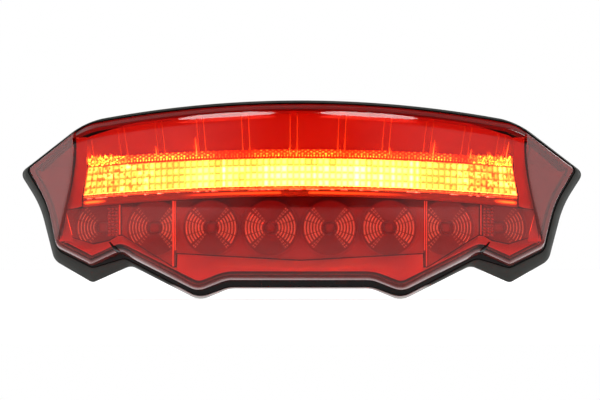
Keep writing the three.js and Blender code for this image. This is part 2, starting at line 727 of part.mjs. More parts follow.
// The bezel's top edge follows the cells; its bottom edge follows the lens.
const BEZEL_TOP = mirrored([
  ...[[0, -27.1], [54.8, -24.1], [55, -30.1], [57, -30.1]],
  ...[[79.7, -15.9], [81.9, -16.1], [85.5, -18.3], [93, -19.9], [102, -17.2]],
]);
const BEZEL_END = BEZEL_TOP.at(-1)[0];
const LENS_FLOOR = wholeOutline(inset(LENS_OUTLINE, BEZEL.insideLens)).lower.map(({ p }) => p.toArray());
const BEZEL_BOTTOM = LENS_FLOOR.filter(([x]) => Math.abs(x) < CREASE_FOOT[0] - BEZEL.insideLens / 2);

function makeBezel() {
  const both = [...BEZEL_TOP, ...BEZEL_BOTTOM].map(([x]) => x).filter((x) => Math.abs(x) <= BEZEL_END);
  const inOrder = both.sort((a, b) => a - b);
  const stations = inOrder.filter((x, i) => !i || x - inOrder[i - 1] > GAP / 2);
  const forward = (x) => lerp(BEZEL.forward, BEZEL.forwardAtFeet, Math.min(1, Math.abs(x) / DIVIDER.x[0]));
  const slope = (x, z) => {
    const fall = (lineZ(BEZEL_TOP, x) - z) / (lineZ(BEZEL_TOP, x) - lineZ(BEZEL_BOTTOM, x));
    return BEZEL.topY + sweep(x) - forward(x) * fall;
  };
  return plate({
    stations,
    bottom: (x) => lineZ(BEZEL_BOTTOM, x),
    top: (x) => lineZ(BEZEL_TOP, x),
    front: slope,
    back: (x, z) => slope(x, z) + BEZEL.wall,
  });
}

// A flat-looking panel behind a wing's lens; side is 1 on the right.
function makeWingPanel(side) {
  const behind = LENS_WALL * Math.hypot(1, WING_SLOPE) + WING_PANEL.clearance;
  const steps = side > 0 ? range(0, 1, 4) : range(1, 0, 4);
  const line = (a, b) => steps.map((t) => ({ p: point(side * lerp(a[0], b[0], t), lerp(a[1], b[1], t)) }));
  const edge = { lower: line(WING_PANEL.foot, WING_PANEL.side), upper: line(WING_PANEL.top, WING_PANEL.tip) };
  const rows = range(0, 1, 2);
  const front = (x, z) => faceY(x, z) + behind;
  return shell(ruledGrid(edge, rows, front), ruledGrid(edge, rows, (x, z) => front(x, z) + WING_PANEL.wall));
}

// ----------------------------------------------------------------------------------------------------
// Rear fittings
// ----------------------------------------------------------------------------------------------------

// A steel stud: its root is held in the boss, and the rest stands out of it.
function makeStud() {
  const { radius, depth, length, chamfer } = STUD;
  const side = [[radius, -depth], [radius, length - chamfer], [radius - chamfer, length]];
  return turned([[0, -depth], ...side, [0, length]], 20);
}

const SOCKET_START = BACK_Y - HOUSING_WALL - GAP;

// The socket for the loom's plug: a shroud with a floor, open towards +Y, and a collar over the edge of the
// housing's window.
function makeSocketShell() {
  const { width, height, wall, endY, flange, overlap, z } = SOCKET;
  const body = box(width, endY - SOCKET_START, height, 0, (endY + SOCKET_START) / 2, z);
  const collar = box(width + 2 * overlap, flange, height + 2 * overlap, 0, BACK_Y + GAP + flange / 2, z);
  const floor = SOCKET_START + SOCKET.floor;
  const cavity = box(width - 2 * wall, endY - floor + 1, height - 2 * wall, 0, (endY + 1 + floor) / 2, z);
  const passage = box(HEADER.width + 2 * GAP, 2 * SOCKET.floor, HEADER.height + 2 * GAP, 0, floor - wall, z);
  return carve(body, [collar], [cavity, passage]);
}

function makePinHeader() {
  const y = SOCKET_START + HEADER.y;
  const block = box(HEADER.width, HEADER.depth, HEADER.height, 0, y, SOCKET.z);
  const pins = [];
  for (let i = 0; i < PIN.perRow; i++)
    for (const row of [-0.5, 0.5]) {
      const x = (i - (PIN.perRow - 1) / 2) * PIN.pitch;
      const z = SOCKET.z + row * PIN.rowSpacing;
      pins.push(box(PIN.side, PIN.length, PIN.side, x, y + PIN.length / 2, z));
    }
  return carve(block, pins, []);
}

function makeVentCap() {
  const { radius, height } = VENT;
  return turned([[0, GAP], [radius, GAP], [radius, height - 1], [radius - 1, height], [0, height]], 20);
}

// ----------------------------------------------------------------------------------------------------
// Finishes and the assembly
// ----------------------------------------------------------------------------------------------------

const finish = (color, roughness, metalness = 0) =>
  new THREE.MeshStandardMaterial({ color, roughness, metalness });

const redLens = finish(0xc81414, 0.05);
redLens.transparent = true;
redLens.opacity = 0.45;
const blackPlastic = finish(0x3a3c39, 0.55);
const sealRubber = finish(0x0c0b0b, 0.6);
const satinSilver = finish(0xb9b9b7, 0.35, 0.8);
const clearOptic = finish(0xf4e9b0, 0.1);
const darkTray = finish(0x33292a, 0.4);
const chrome = finish(0xd5d5d5, 0.12, 1);
const ledBody = finish(0xe2c860, 0.4);
const circuitBoard = finish(0x1d5a36, 0.6);
const zincSteel = finish(0xa9acb0, 0.35, 1);
const brass = finish(0xb08d45, 0.35, 1);
const chipBlack = finish(0x151515, 0.5);

const tailLight = new THREE.Group();

function place(name, geometry, material, x = 0, y = 0, z = 0) {
  const mesh = new THREE.Mesh(geometry, material);
  mesh.name = name;
  mesh.position.set(x, y, z);
  tailLight.add(mesh);
}

place("outer_lens", makeLens(), redLens);
place("lens_seal", makeSeal(), sealRubber);
place("rear_housing", makeHousing(), blackPlastic);

place("upper_reflector", makeUpperReflector(), satinSilver);
place("light_bar_lens", makeBarLens(), clearOptic);
place("light_bar_ledge", makeLedge(), satinSilver);
place("light_bar_board", makeBarBoard(), circuitBoard);
for (let i = 0; i < BAR_LED.count; i++) {
  const x = (i - (BAR_LED.count - 1) / 2) * BAR_LED.pitch;
  const y = BAR_BOARD.y - BAR_LED.lift - BAR_LED.depth / 2 + sweep(x);
  const body = box(BAR_LED.side, BAR_LED.depth, BAR_LED.side, 0, 0, 0);
  place(`bar_led_${i + 1}`, body, ledBody, x, y, barZ(x));
}

for (const cell of CELLS) {
  place(`lamp_tray_${cell.name}`, makeTray(cell), darkTray);
  place(`led_board_${cell.name}`, makeBoard(cell), circuitBoard);
}
LAMPS.forEach(({ x, cell }, i) => {
  const ledY = BOARD.frontY - GAP - LED.depth / 2 + cell.lift;
  const body = box(LED.side, LED.depth, LED.side, 0, 0, 0);
  place(`ring_optic_${i + 1}`, makeOptic(cell, x), chrome, x, TRAY.frontY - GAP + cell.lift, LAMP.z);
  place(`brake_led_${i + 1}`, body, ledBody, x, ledY, LAMP.z);
});
BOARD_SCREWS.forEach(({ x, z, y }, i) => {
  place(`board_screw_${i + 1}`, makeScrew(), zincSteel, x, y - BOARD.thickness - GAP, z);
});
for (const side of [-1, 1]) {
  const name = side < 0 ? "left" : "right";
  place(`divider_${name}_inner`, makeDivider(side * DIVIDER.x[0], DIVIDER.bottomZ[0]), chrome);
  place(`divider_${name}_outer`, makeDivider(side * DIVIDER.x[1], DIVIDER.bottomZ[1]), chrome);
  place(`wing_panel_${name}`, makeWingPanel(side), satinSilver);
}
place("lower_bezel", makeBezel(), satinSilver);

MOUNT_BOSSES.forEach(([x, z], i) => place(`mount_stud_${i + 1}`, makeStud(), zincSteel, x, MOUNT_Y, z));
place("socket_shell", makeSocketShell(), blackPlastic);
place("pin_header", makePinHeader(), brass);
place("vent_cap", makeVentCap(), blackPlastic, 0, BACK_Y, VENT.z);

const boardRear = boardBack(CENTER_LIFT) + GAP;
const chip = box(CHIP.width, CHIP.depth, CHIP.height, 0, CHIP.depth / 2, 0);
place("driver_chip", chip, chipBlack, CHIP.x, boardRear, CHIP.z);
const can = rod(CAPACITOR.radius, 0, 0, 0, CAPACITOR.length, 18);
place("smoothing_capacitor", can, chipBlack, CAPACITOR.x, boardRear, CAPACITOR.z);

export default tailLight;
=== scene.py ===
"""Motorcycle tail light: a tinted lens over a lit bar, ring optics and reflectors, on a plastic housing.

Shapes are worked out in millimetres, in the frame's own axes: +X right, +Z up, the lens faces -Y.
"""

import math

import bmesh
import bpy
import numpy as np
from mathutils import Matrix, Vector


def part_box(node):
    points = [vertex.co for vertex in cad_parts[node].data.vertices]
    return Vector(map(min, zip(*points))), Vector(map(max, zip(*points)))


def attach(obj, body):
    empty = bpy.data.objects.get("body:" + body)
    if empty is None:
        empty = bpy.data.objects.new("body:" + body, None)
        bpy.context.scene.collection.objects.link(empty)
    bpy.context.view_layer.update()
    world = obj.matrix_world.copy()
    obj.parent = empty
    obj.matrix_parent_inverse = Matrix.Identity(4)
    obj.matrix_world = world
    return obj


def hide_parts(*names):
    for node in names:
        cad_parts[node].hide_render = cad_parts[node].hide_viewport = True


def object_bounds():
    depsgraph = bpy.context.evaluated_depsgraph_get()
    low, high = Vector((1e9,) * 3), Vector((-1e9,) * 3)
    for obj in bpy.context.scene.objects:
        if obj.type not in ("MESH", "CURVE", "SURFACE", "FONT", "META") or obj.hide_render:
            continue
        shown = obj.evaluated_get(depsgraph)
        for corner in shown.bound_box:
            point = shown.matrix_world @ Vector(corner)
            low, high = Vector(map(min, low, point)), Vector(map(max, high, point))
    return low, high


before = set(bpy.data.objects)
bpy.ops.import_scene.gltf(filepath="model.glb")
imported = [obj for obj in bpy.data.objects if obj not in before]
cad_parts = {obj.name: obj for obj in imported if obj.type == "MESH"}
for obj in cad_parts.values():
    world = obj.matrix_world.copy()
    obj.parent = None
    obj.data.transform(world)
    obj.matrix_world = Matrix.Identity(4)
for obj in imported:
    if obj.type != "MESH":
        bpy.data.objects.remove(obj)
CAD_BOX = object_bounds()

MM = 0.001
GAP = 0.3
rng = np.random.default_rng(7)


def box_mm(node):
    """A CAD node's lowest and highest corners, in millimetres."""
    low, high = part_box(node)
    return np.array(low) / MM, np.array(high) / MM


# ---- Driving sizes ----

FACE_Y = box_mm("outer_lens")[0][1]
BACK_Y = box_mm("vent_cap")[0][1] - GAP
HALF_WIDTH = 125.0
SWEEP_RADIUS = 330.0
CROWN_RADIUS = 400.0
CROWN_Z = 5.0
JOINT_Y = -34.0
JOINT_SWEEP = 22.0
LENS_WALL = 2.0
HOUSING_WALL = 2.4
CREASE_TOP = np.array([101.0, 29.6])
CREASE_FOOT = np.array([109.0, -22.0])
CREASE_BOW = 2.0  # how far the crease bows inwards from a straight line
CREASE_ROUNDING = 1.6
BOW_REACH = 12.0
WING_SLOPE = 1.2

# The right half of each outline, from the bottom's middle round to the top's. Each corner has its place, how
# much of its edges its curve takes, and the bevel's width on the edge before it and on the one after it.
LENS = {
    "bottom": (-36.1, 2.8),
    "top": (42.9, 7.0),
    "radius": 500.0,
    "corners": {
        "flat": (32.4, -36.1, 2.5, 2.8, 2.8),
        "low": (45.5, -41.2, 4.0, 2.6, 2.6),
        "notch": (80.5, -23.9, 1.5, 6.2, 4.5),
        "foot_tip": (93.5, -29.8, 1.2, 4.8, 4.8),
        "foot_outer": (108.7, -22.1, 2.2, 3.5, 0.4),
        "waist": (113.4, -1.8, 6.5, 0.4, 0.4),
        "tip": (122.6, 13.9, 2.0, 0.4, 0.5),
        "shoulder": (96.6, 33.6, 5.5, 0.5, 7.0),
    },
}
RIM = {
    "bottom": (-39.6, 0),
    "top": (44.5, 0),
    "radius": 493.0,
    "corners": {
        "flat": (31.7, -39.6, 2.5, 0, 0),
        "low": (45.0, -45.1, 4.5, 0, 0),
        "notch": (76.0, -29.4, 2.4, 0, 0),
        "foot_tip": (93.5, -37.2, 1.6, 0, 0),
        "foot_outer": (111.0, -27.2, 3.0, 0, 0),
        "waist": (117.4, -2.6, 7.0, 0, 0),
        "tip": (126.7, 12.0, 3.6, 0, 0),
        "shoulder": (97.2, 34.6, 8.0, 0, 0),
    },
}
# How far the seal shows past the lens, as a share of the way to the rim's edge.
SEAL_SHARE = {
    "bottom": 0.76, "flat": 0.76, "low": 0.62, "notch": 0.4, "foot_tip": 0.1, "foot_outer": 0.14,
    "waist": 0.18, "tip": 0.2, "shoulder": 0.3, "top": 0.25,
}
EDGE_STEPS = {"flat": 24, "low": 10, "notch": 26, "foot_tip": 12, "foot_outer": 12, "waist": 14, "tip": 12}
CORNER_STEPS = 6
SHOULDER_STEPS = 16
MIN_TRIM = 0.3
TRIM_GAIN = 0.4
BROW_END = 0.83  # how far the brow reaches down the crease, against its width at the top
DOWN_CREASE = 1.2  # how far a path's corner moves down the crease for each millimetre that the path moves in

# ---- Outlines in the front view, as arrays of x and z ----


def lerp(a, b, t):
    return a + (b - a) * t


def towards(a, b, distance):
    return a + (b - a) * distance / np.hypot(*(b - a))


def line(a, b, steps):
    """Points on a line, without its first."""
    return [lerp(a, b, i / steps) for i in range(1, steps + 1)]


def curve(a, control, b, steps):
    """Points on a curve with one control point, without its first."""
    return [lerp(lerp(a, control, t), lerp(control, b, t), t) for t in np.arange(1, steps + 1) / steps]


def moved_corner(before, here, after, inside_before, inside_after):
    """A corner moved inwards by one distance from the edge before it and another from the edge after it."""
    normals = []
    for a, b in ((before, here), (here, after)):
        along = (b - a) / np.hypot(*(b - a))
        normals.append((-along[1], along[0]))
    return here + np.linalg.solve(np.array(normals), [inside_before, inside_after]), normals


def moved_corners(spec, inset, bevelled):
    """Every corner of an outline moved inwards, and how far from it its curve starts."""
    names = list(spec["corners"])
    spots = [np.array(spec["corners"][name][:2]) for name in names]
    moved, trims = {}, {}
    for i, name in enumerate(names):
        trim, bevel_before, bevel_after = spec["corners"][name][2:]
        here = spots[i]
        before = spots[i - 1] if i else np.array([0.0, spec["bottom"][0]])
        after = spots[i + 1] if i + 1 < len(names) else here + [-spec["radius"] / here[0], 1.0]
        inside = [inset + bevelled * bevel_before, inset + bevelled * bevel_after]
        if name == "shoulder":
            inside[0] = inside[1]
        moved[name], (n1, n2) = moved_corner(before, here, after, *inside)
        convex = n1[0] * n2[1] - n1[1] * n2[0] > 0
        trims[name] = max(MIN_TRIM, trim + (-TRIM_GAIN if convex else TRIM_GAIN) * max(inside))
    return moved, trims


def half_paths(spec, inset=0.0, bevelled=False):
    """The lower and the upper half path, from the middle out to the wing tip, moved inwards by inset.

    With bevelled, they run along the top of the bevel. The two pair point for point, and both have the
    crease's point twice, where the brow ends and the wing begins.
    """
    names = list(spec["corners"])
    moved, trims = moved_corners(spec, inset, bevelled)
    bottom_z, bottom_bevel = spec["bottom"]
    at = np.array([0.0, bottom_z + inset + bevelled * bottom_bevel])
    lower = [at]
    for name, following in zip(names[:6], names[1:7]):
        into = towards(moved[name], at, trims[name])
        out = towards(moved[name], moved[following], trims[name])
        lower += line(at, into, EDGE_STEPS[name]) + curve(into, moved[name], out, CORNER_STEPS)
        at = out
        if name == "foot_outer":
            crease = len(lower)
            lower.append(out)

    top_z, top_bevel = spec["top"]
    tip, tip_trim = moved["tip"], trims["tip"]
    shoulder = np.array(spec["corners"]["shoulder"][:2])
    shoulder_trim, wing_bevel = spec["corners"]["shoulder"][2:4]
    down = (CREASE_FOOT - CREASE_TOP) / np.hypot(*(CREASE_FOOT - CREASE_TOP))
    crease_top = towards(shoulder, np.array(spec["corners"]["tip"][:2]), shoulder_trim)
    brow_end = crease_top + down * (BROW_END * bevelled * top_bevel + DOWN_CREASE * inset)
    wing_start = crease_top + down * DOWN_CREASE * (bevelled * wing_bevel + inset)
    side_end = towards(tip, at, tip_trim)
    wing_end = towards(tip, wing_start, tip_trim)
    nose = (side_end + 2 * tip + wing_end) / 4
    lower += line(at, side_end, EDGE_STEPS["tip"])
    lower += curve(side_end, (side_end + tip) / 2, nose, CORNER_STEPS)

    arc_x = np.linspace(0, shoulder[0] - shoulder_trim, crease - SHOULDER_STEPS)
    arc_z = top_z - inset - bevelled * top_bevel - arc_x * arc_x / (2 * spec["radius"])
    upper = list(np.column_stack([arc_x, arc_z]))
    upper += curve(upper[-1], moved["shoulder"], brow_end, SHOULDER_STEPS) + [wing_start]
    upper += line(wing_start, wing_end, len(lower) - len(upper) - CORNER_STEPS)
    upper += curve(wing_end, (wing_end + tip) / 2, nose, CORNER_STEPS)
    return np.array(lower), np.array(upper)


def whole_paths(spec, inset=0.0, bevelled=False):
    """Both paths of the whole outline, from the left wing tip to the right one."""
    return [np.vstack([(half * [-1, 1])[:0:-1], half]) for half in half_paths(spec, inset, bevelled)]


def loop_of(lower, upper):
    return np.vstack([lower, upper[-2:0:-1]])


def whole_loop(spec, inset=0.0):
    return loop_of(*whole_paths(spec, inset))


def mixed_spec(a, b, share):
    """The outline a share of the way from one to another, corner by corner."""
    def mixed(p, q, name):
        return tuple(lerp(np.array(p), np.array(q), share[name]))

    return {
        "bottom": mixed(a["bottom"], b["bottom"], "bottom"),
        "top": mixed(a["top"], b["top"], "top"),
        "radius": lerp(a["radius"], b["radius"], share["top"]),
        "corners": {name: mixed(corner, b["corners"][name], name) for name, corner in a["corners"].items()},
    }


# ---- Depths: y as a function of the place in the front view ----


def sweep(x):
    return np.square(x) / (2 * SWEEP_RADIUS)


def joint_y(x):
    """Where the lens meets the housing."""
    return JOINT_Y + JOINT_SWEEP * np.square(np.asarray(x) / HALF_WIDTH)


def smooth_max(a, b, k):
    h = np.maximum(k - np.abs(a - b), 0) / k
    return np.maximum(a, b) + h * h * k / 4


def smooth_min(a, b, k):
    return -smooth_max(-a, -b, k)


def smooth_step(low, high, x):
    t = np.clip((x - low) / (high - low), 0, 1)
    return t * t * (3 - 2 * t)


def up_crease(z):
    return (z - CREASE_FOOT[1]) / (CREASE_TOP[1] - CREASE_FOOT[1])


def crease_bow(z):
    """How far the crease lies inside the straight line between its ends: most, two thirds of the way up."""
    up = np.clip(up_crease(z), 0, 1)
    return CREASE_BOW * 6.75 * up * up * (1 - up)


def crease_x(z):
    return lerp(CREASE_FOOT[0], CREASE_TOP[0], up_crease(z)) - crease_bow(z)


def face_y(x, z):
    """The lens's face: swept and crowned in the middle, and falling away past the creases."""
    outside = smooth_max(np.abs(x) - crease_x(z), 0, CREASE_ROUNDING)
    middle = FACE_Y + sweep(np.abs(x) - outside) + np.square(z - CROWN_Z) / (2 * CROWN_RADIUS)
    return middle + WING_SLOPE * outside


# ---- Mesh helpers ----


def xyz(x, y, z):
    """Points from their coordinates: arrays of one shape, or single numbers."""
    return np.stack(np.broadcast_arrays(x, y, z), axis=-1)


def at_depth(path, y):
    """Points of a front view path with their depths."""
    return xyz(path[:, 0], y, path[:, 1])


def ruled(lower, upper, rows, depth):
    """A grid ruled between two paths, with y from depth(x, z). Its columns bow along with the creases."""
    grid = []
    for t in rows:
        path = lerp(lower, upper, t)
        beside = np.exp(-np.square((np.abs(path[:, 0]) - crease_x(path[:, 1])) / BOW_REACH))
        path[:, 0] -= np.sign(path[:, 0]) * crease_bow(path[:, 1]) * beside * min(1, 8 * t, 8 * (1 - t))
        grid.append(at_depth(path, depth(path[:, 0], path[:, 1])))
    return np.array(grid)


def quarter_turn(steps):
    """The sine and cosine of each step of a quarter turn."""
    angles = np.linspace(0, math.pi / 2, steps)
    return list(zip(np.sin(angles), np.cos(angles)))


def round_edges(piece, width, segments, angle, harden=False):
    rounding = piece.modifiers.new("rounding", "BEVEL")
    rounding.width = width * MM
    rounding.segments = segments
    rounding.limit_method = "ANGLE"
    rounding.angle_limit = math.radians(angle)
    rounding.harden_normals = harden


class Body:
    """Quads and polygons in millimetres, with a glow for each point, made into one object at the end."""

    def __init__(self):
        self.points, self.faces, self.glow = [], [], []
        self.second = []  # the faces that take the second material

    def add_points(self, points, glow=None):
        """Adds points, dark unless they have a glow, and returns the first one's number."""
        first = len(self.points)
        self.points.extend(np.asarray(points).reshape(-1, 3).tolist())
        colours = np.zeros((len(self.points) - first, 3)) if glow is None else np.asarray(glow).reshape(-1, 3)
        self.glow.extend(colours.tolist())
        return first

    def add_faces(self, faces, second=False):
        if second:
            self.second.extend(range(len(self.faces), len(self.faces) + len(faces)))
        self.faces.extend(faces)

    def grid(self, grid, wrap=False, glow=None, second=False):
        """Quads over rows of points; wrap joins each row's end to its start."""
        rows, columns = grid.shape[:2]
        first = self.add_points(grid, glow)
        j, i = np.meshgrid(np.arange(rows - 1), np.arange(columns if wrap else columns - 1), indexing="ij")
        right = (i + 1) % columns
        here, above = j * columns, (j + 1) * columns
        quads = np.stack([here + i, here + right, above + right, above + i])
        self.add_faces((first + quads.reshape(4, -1).T).tolist(), second)

    def sheet(self, front, back, glow=None):
        """A closed plate between two grids of one shape; the front may glow."""
        self.grid(front, glow=glow)
        self.grid(back)
        for edge in (0, -1):
            self.grid(np.stack([front[edge], back[edge]]))
            self.grid(np.stack([front[:, edge], back[:, edge]]))

    def rod(self, rings, glow=None):
        """A closed body through rings of points."""
        self.grid(np.array(rings), wrap=True, glow=glow)
        for ring in (rings[0], rings[-1]):
            first = self.add_points(ring)
            self.add_faces([list(range(first, first + len(ring)))])

    def bead(self, spots, radii, sides, depth=1.0, glow=None):
        """A rod round a row of places, as deep as depth times its width; glow has a colour for each place."""
        around = np.linspace(0, 2 * math.pi, sides, endpoint=False)
        rings = []
        for (x, y, z), radius in zip(spots, radii):
            rings.append(xyz(x + radius * np.cos(around), y + depth * radius * np.sin(around), z))
        self.rod(rings, None if glow is None else np.repeat(np.array(glow)[:, None], sides, axis=1))

    def box(self, low, high, second=False):
        x, y, z = zip(low, high)
        first = self.add_points([(a, b, c) for a in x for b in y for c in z])
        faces = ((0, 1, 3, 2), (4, 6, 7, 5), (0, 4, 5, 1), (2, 3, 7, 6), (0, 2, 6, 4), (1, 5, 7, 3))
        self.add_faces([[first + i for i in face] for face in faces], second)

    def block(self, x, z, half_width, half_height, front, back):
        """A box round a place in the front view."""
        self.box((x - half_width, front, z - half_height), (x + half_width, back, z + half_height))

    def turned(self, profile, x, z, y=0.0, sides=48, ripple=None):
        """A body turned about Y from pairs of radius and depth; ripple(angle, depth) adds to the radius."""
        profile = np.array(profile, float)
        angle = np.arange(sides) * 2 * math.pi / sides
        radius = np.repeat(profile[:, :1], sides, axis=1)
        depth = np.repeat(profile[:, 1:], sides, axis=1)
        if ripple:
            radius = np.where(radius > 0, radius + ripple(angle[None, :], depth), 0)
        self.grid(xyz(x + radius * np.cos(angle), y + depth, z + radius * np.sin(angle)), wrap=True)

    def closed_mesh(self, name, planes):
        """The welded and closed mesh, facing out and cut by planes, each a place and its outward normal."""
        mesh = bpy.data.meshes.new(name)
        mesh.from_pydata((np.array(self.points) * MM).tolist(), [], self.faces)
        for face in self.second:
            mesh.polygons[face].material_index = 1
        layer = mesh.color_attributes.new("glow", "FLOAT_COLOR", "POINT")
        colours = np.ones((len(self.points), 4), np.float32)
        colours[:, :3] = self.glow
        layer.data.foreach_set("color", colours.ravel())
        work = bmesh.new()
        work.from_mesh(mesh)
        bmesh.ops.remove_doubles(work, verts=work.verts, dist=2e-7)
        bmesh.ops.dissolve_degenerate(work, edges=work.edges, dist=1e-7)
        for place, normal in planes:
            everything = work.verts[:] + work.edges[:] + work.faces[:]
            cut = bmesh.ops.bisect_plane(
                work, geom=everything, plane_co=(np.array(place) * MM).tolist(), plane_no=normal,
                clear_outer=True,
            )
            edges = [e for e in cut["geom_cut"] if isinstance(e, bmesh.types.BMEdge)]
            bmesh.ops.holes_fill(work, edges=edges, sides=0)
        bmesh.ops.recalc_face_normals(work, faces=work.faces)
        work.to_mesh(mesh)
        work.free()
        return mesh

    def make(self, name, material, slot, *nodes, sharp=35, bevel=0.0, planes=(), second=None):
        """The finished object on the body "root", smooth but for its sharp edges, in place of nodes."""
        mesh = self.closed_mesh(name, planes)
        mesh.polygons.foreach_set("use_smooth", [True] * len(mesh.polygons))
        mesh.set_sharp_from_angle(angle=math.radians(sharp))
        for each in (material, second) if second else (material,):
            mesh.materials.append(each)
        piece = bpy.data.objects.new(name, mesh)
        bpy.context.scene.collection.objects.link(piece)
        if bevel:
            round_edges(piece, bevel, 3, 40, harden=True)
        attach(piece, "root")
        if nodes:
            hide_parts(*nodes)


# ---- Materials ----


class Nodes:
    """Short ways to add to a node tree. A value is a number, a colour, or another node's output to link."""

    def __init__(self, tree):
        self.nodes, self.links = tree.nodes, tree.links

    def feed(self, socket, value):
        if isinstance(value, bpy.types.NodeSocket):
            self.links.new(value, socket)
        else:
            is_colour = isinstance(value, tuple) and socket.type == "RGBA"
            socket.default_value = (*value, 1) if is_colour else value

    def add(self, kind, inputs=(), **settings):
        """A new node, with its settings and then its inputs, which go by name or number."""
        node = self.nodes.new("ShaderNode" + kind)
        for name, value in settings.items():
            setattr(node, name, value)
        for name, value in dict(inputs).items():
            self.feed(node.inputs[name], value)
        return node

    def axes(self, vector):
        return self.add("SeparateXYZ", {"Vector": vector}).outputs

    def ranged(self, value, low, high, start=0.3, end=0.7):
        """From low to high as a value goes from start to end."""
        inputs = {"Value": value, "From Min": start, "From Max": end, "To Min": low, "To Max": high}
        return self.add("MapRange", inputs).outputs["Result"]

    def blended(self, factor, first, second, **settings):
        inputs = {"Factor": factor, "A": first, "B": second}
        return self.add("Mix", inputs, data_type="RGBA", **settings).outputs["Result"]

    def math(self, operation, *values):
        return self.add("Math", dict(enumerate(values)), operation=operation).outputs[0]

    def ramp(self, value, stops):
        """A grey level from pairs of a value and its level."""
        node = self.add("ValToRGB", {"Fac": value})
        elements = node.color_ramp.elements
        while len(elements) < len(stops):
            elements.new(0.5)
        for element, (place, level) in zip(elements, stops):
            element.position = place
            element.color = (level, level, level, 1)
        return node.outputs["Color"]


class Finish(Nodes):
    """A node material. Its textures read object coordinates, in metres."""

    def __init__(self, name):
        self.material = bpy.data.materials.new(name)
        self.material.use_nodes = True
        super().__init__(self.material.node_tree)
        self.shader = self.nodes["Principled BSDF"]
        self.place = self.add("TexCoord").outputs["Object"]

    def set(self, **inputs):
        """Gives the shader its inputs; an underscore stands for a space in a name."""
        for name, value in inputs.items():
            self.feed(self.shader.inputs[name.replace("_", " ")], value)

    def noise(self, scale, detail=3.0):
        return self.add("TexNoise", {"Vector": self.place, "Scale": scale, "Detail": detail}).outputs["Fac"]

    def banded(self, base, colour, start, end):
        """Another colour past a height, coming in between start and end."""
        return self.blended(self.ranged(self.axes(self.place)["Z"], 0, 1, start, end), base, colour)

    def bump(self, height, strength, distance):
        inputs = {"Height": height, "Strength": strength, "Distance": distance}
        return self.add("Bump", inputs).outputs["Normal"]

    def facing(self, **normal):
        """0 where the surface faces the ray, 1 where the ray grazes it, on both of its sides."""
        return self.add("LayerWeight", {"Blend": 0.5, **normal}).outputs["Facing"]


def worn_finish(name, colour, darker, roughness, grain=1500.0, strength=0.3, painted_band=None, **inputs):
    """A solid finish with drifting colour, uneven roughness and a fine grain; the optional band, as in
    Finish.banded, is painted light on some finishes and painted shade on others.
    """
    made = Finish(name)
    base = made.blended(made.ranged(made.noise(60.0), 0, 1), darker, colour)
    made.set(
        Base_Color=made.banded(base, *painted_band) if painted_band else base,
        Roughness=made.ranged(made.noise(220.0, 4), *roughness),
        Normal=made.bump(made.noise(grain, 2), strength, 2e-5),
        **inputs,
    )
    return made.material


LENS_TINT = (0.92, 0.235, 0.187)  # of one surface of the lens's wall
HEAD_ON = 0.03  # the share of light that a clear plastic throws back head on


def lens_finish():
    """Tinted clear plastic: what is behind it shows through, under a gloss that grows to the edges."""
    made = Finish("red_lens")
    made.nodes.remove(made.shader)
    waves = made.bump(made.noise(18.0, 1), 0.06, 4e-4)
    clear = made.add("BsdfTransparent", {"Color": LENS_TINT}).outputs["BSDF"]
    polish = made.ranged(made.noise(150.0, 4), 0.02, 0.06)
    gloss = made.add("BsdfGlossy", {"Color": (1, 1, 1), "Roughness": polish, "Normal": waves}).outputs["BSDF"]
    grazing = made.math("POWER", made.facing(Normal=waves), 5)
    sheen = made.math("MULTIPLY_ADD", grazing, 1 - HEAD_ON, HEAD_ON)
    mix = made.add("MixShader", {"Fac": sheen, 1: clear, 2: gloss})
    made.links.new(mix.outputs["Shader"], made.nodes["Material Output"].inputs["Surface"])
    return made.material


GLOW_PEAK = 96.0


def glowing_finish(name, colour, roughness):
    """Clear optic plastic that shines with the "glow" that its points carry, most of it straight ahead: the
    bar's own light on the bar, and painted highlights and painted light on the parts round it.
    """
    made = Finish(name)
    ahead = made.math("POWER", made.math("SUBTRACT", made.facing(), 1), 2)
    made.set(
        Base_Color=colour,
        Emission_Color=made.add("VertexColor", layer_name="glow").outputs["Color"],
        Emission_Strength=made.math("MULTIPLY", ahead, GLOW_PEAK),
        Roughness=made.ranged(made.noise(400.0), roughness, roughness + 0.1),
        Normal=made.bump(made.noise(900.0, 2), 0.15, 3e-5),
    )
    return made.material


def board_finish():
    """Solder mask over copper tracks, which show as faint raised lines."""
    made = Finish("circuit_board")
    turned = made.add("Mapping", {"Vector": made.place, "Rotation": (math.pi / 2, 0, 0)}).outputs["Vector"]
    tracks = made.add("TexBrick", {"Vector": turned, "Scale": 160.0, "Mortar Size": 0.06}).outputs["Fac"]
    made.set(
        Base_Color=made.blended(tracks, (0.012, 0.09, 0.035), (0.03, 0.16, 0.06)),
        Roughness=made.ranged(made.noise(300.0), 0.3, 0.45),
        Normal=made.bump(tracks, 0.4, 4e-5),
    )
    return made.material


def painted_glow(colour, strength):
    """Painted light: a faint even glow that makes a part which is no lamp look lit."""
    return {"Emission_Color": colour, "Emission_Strength": strength}


RED_LENS = lens_finish()
# The welded edge shows through the lens, dull brown lower down; the red under the brow is painted light, for
# light from above falling into the edge.
WELD_EDGE = worn_finish(
    "lens_weld_edge", (0.16, 0.05, 0.04), (0.14, 0.045, 0.036), (0.35, 0.5),
    painted_band=((0.55, 0.008, 0.007), 0.027, 0.034),
)
SEAL = worn_finish(
    "seal", (0.006, 0.005, 0.005), (0.003, 0.003, 0.003), (0.12, 0.22), grain=700.0, Specular_IOR_Level=0.15
)
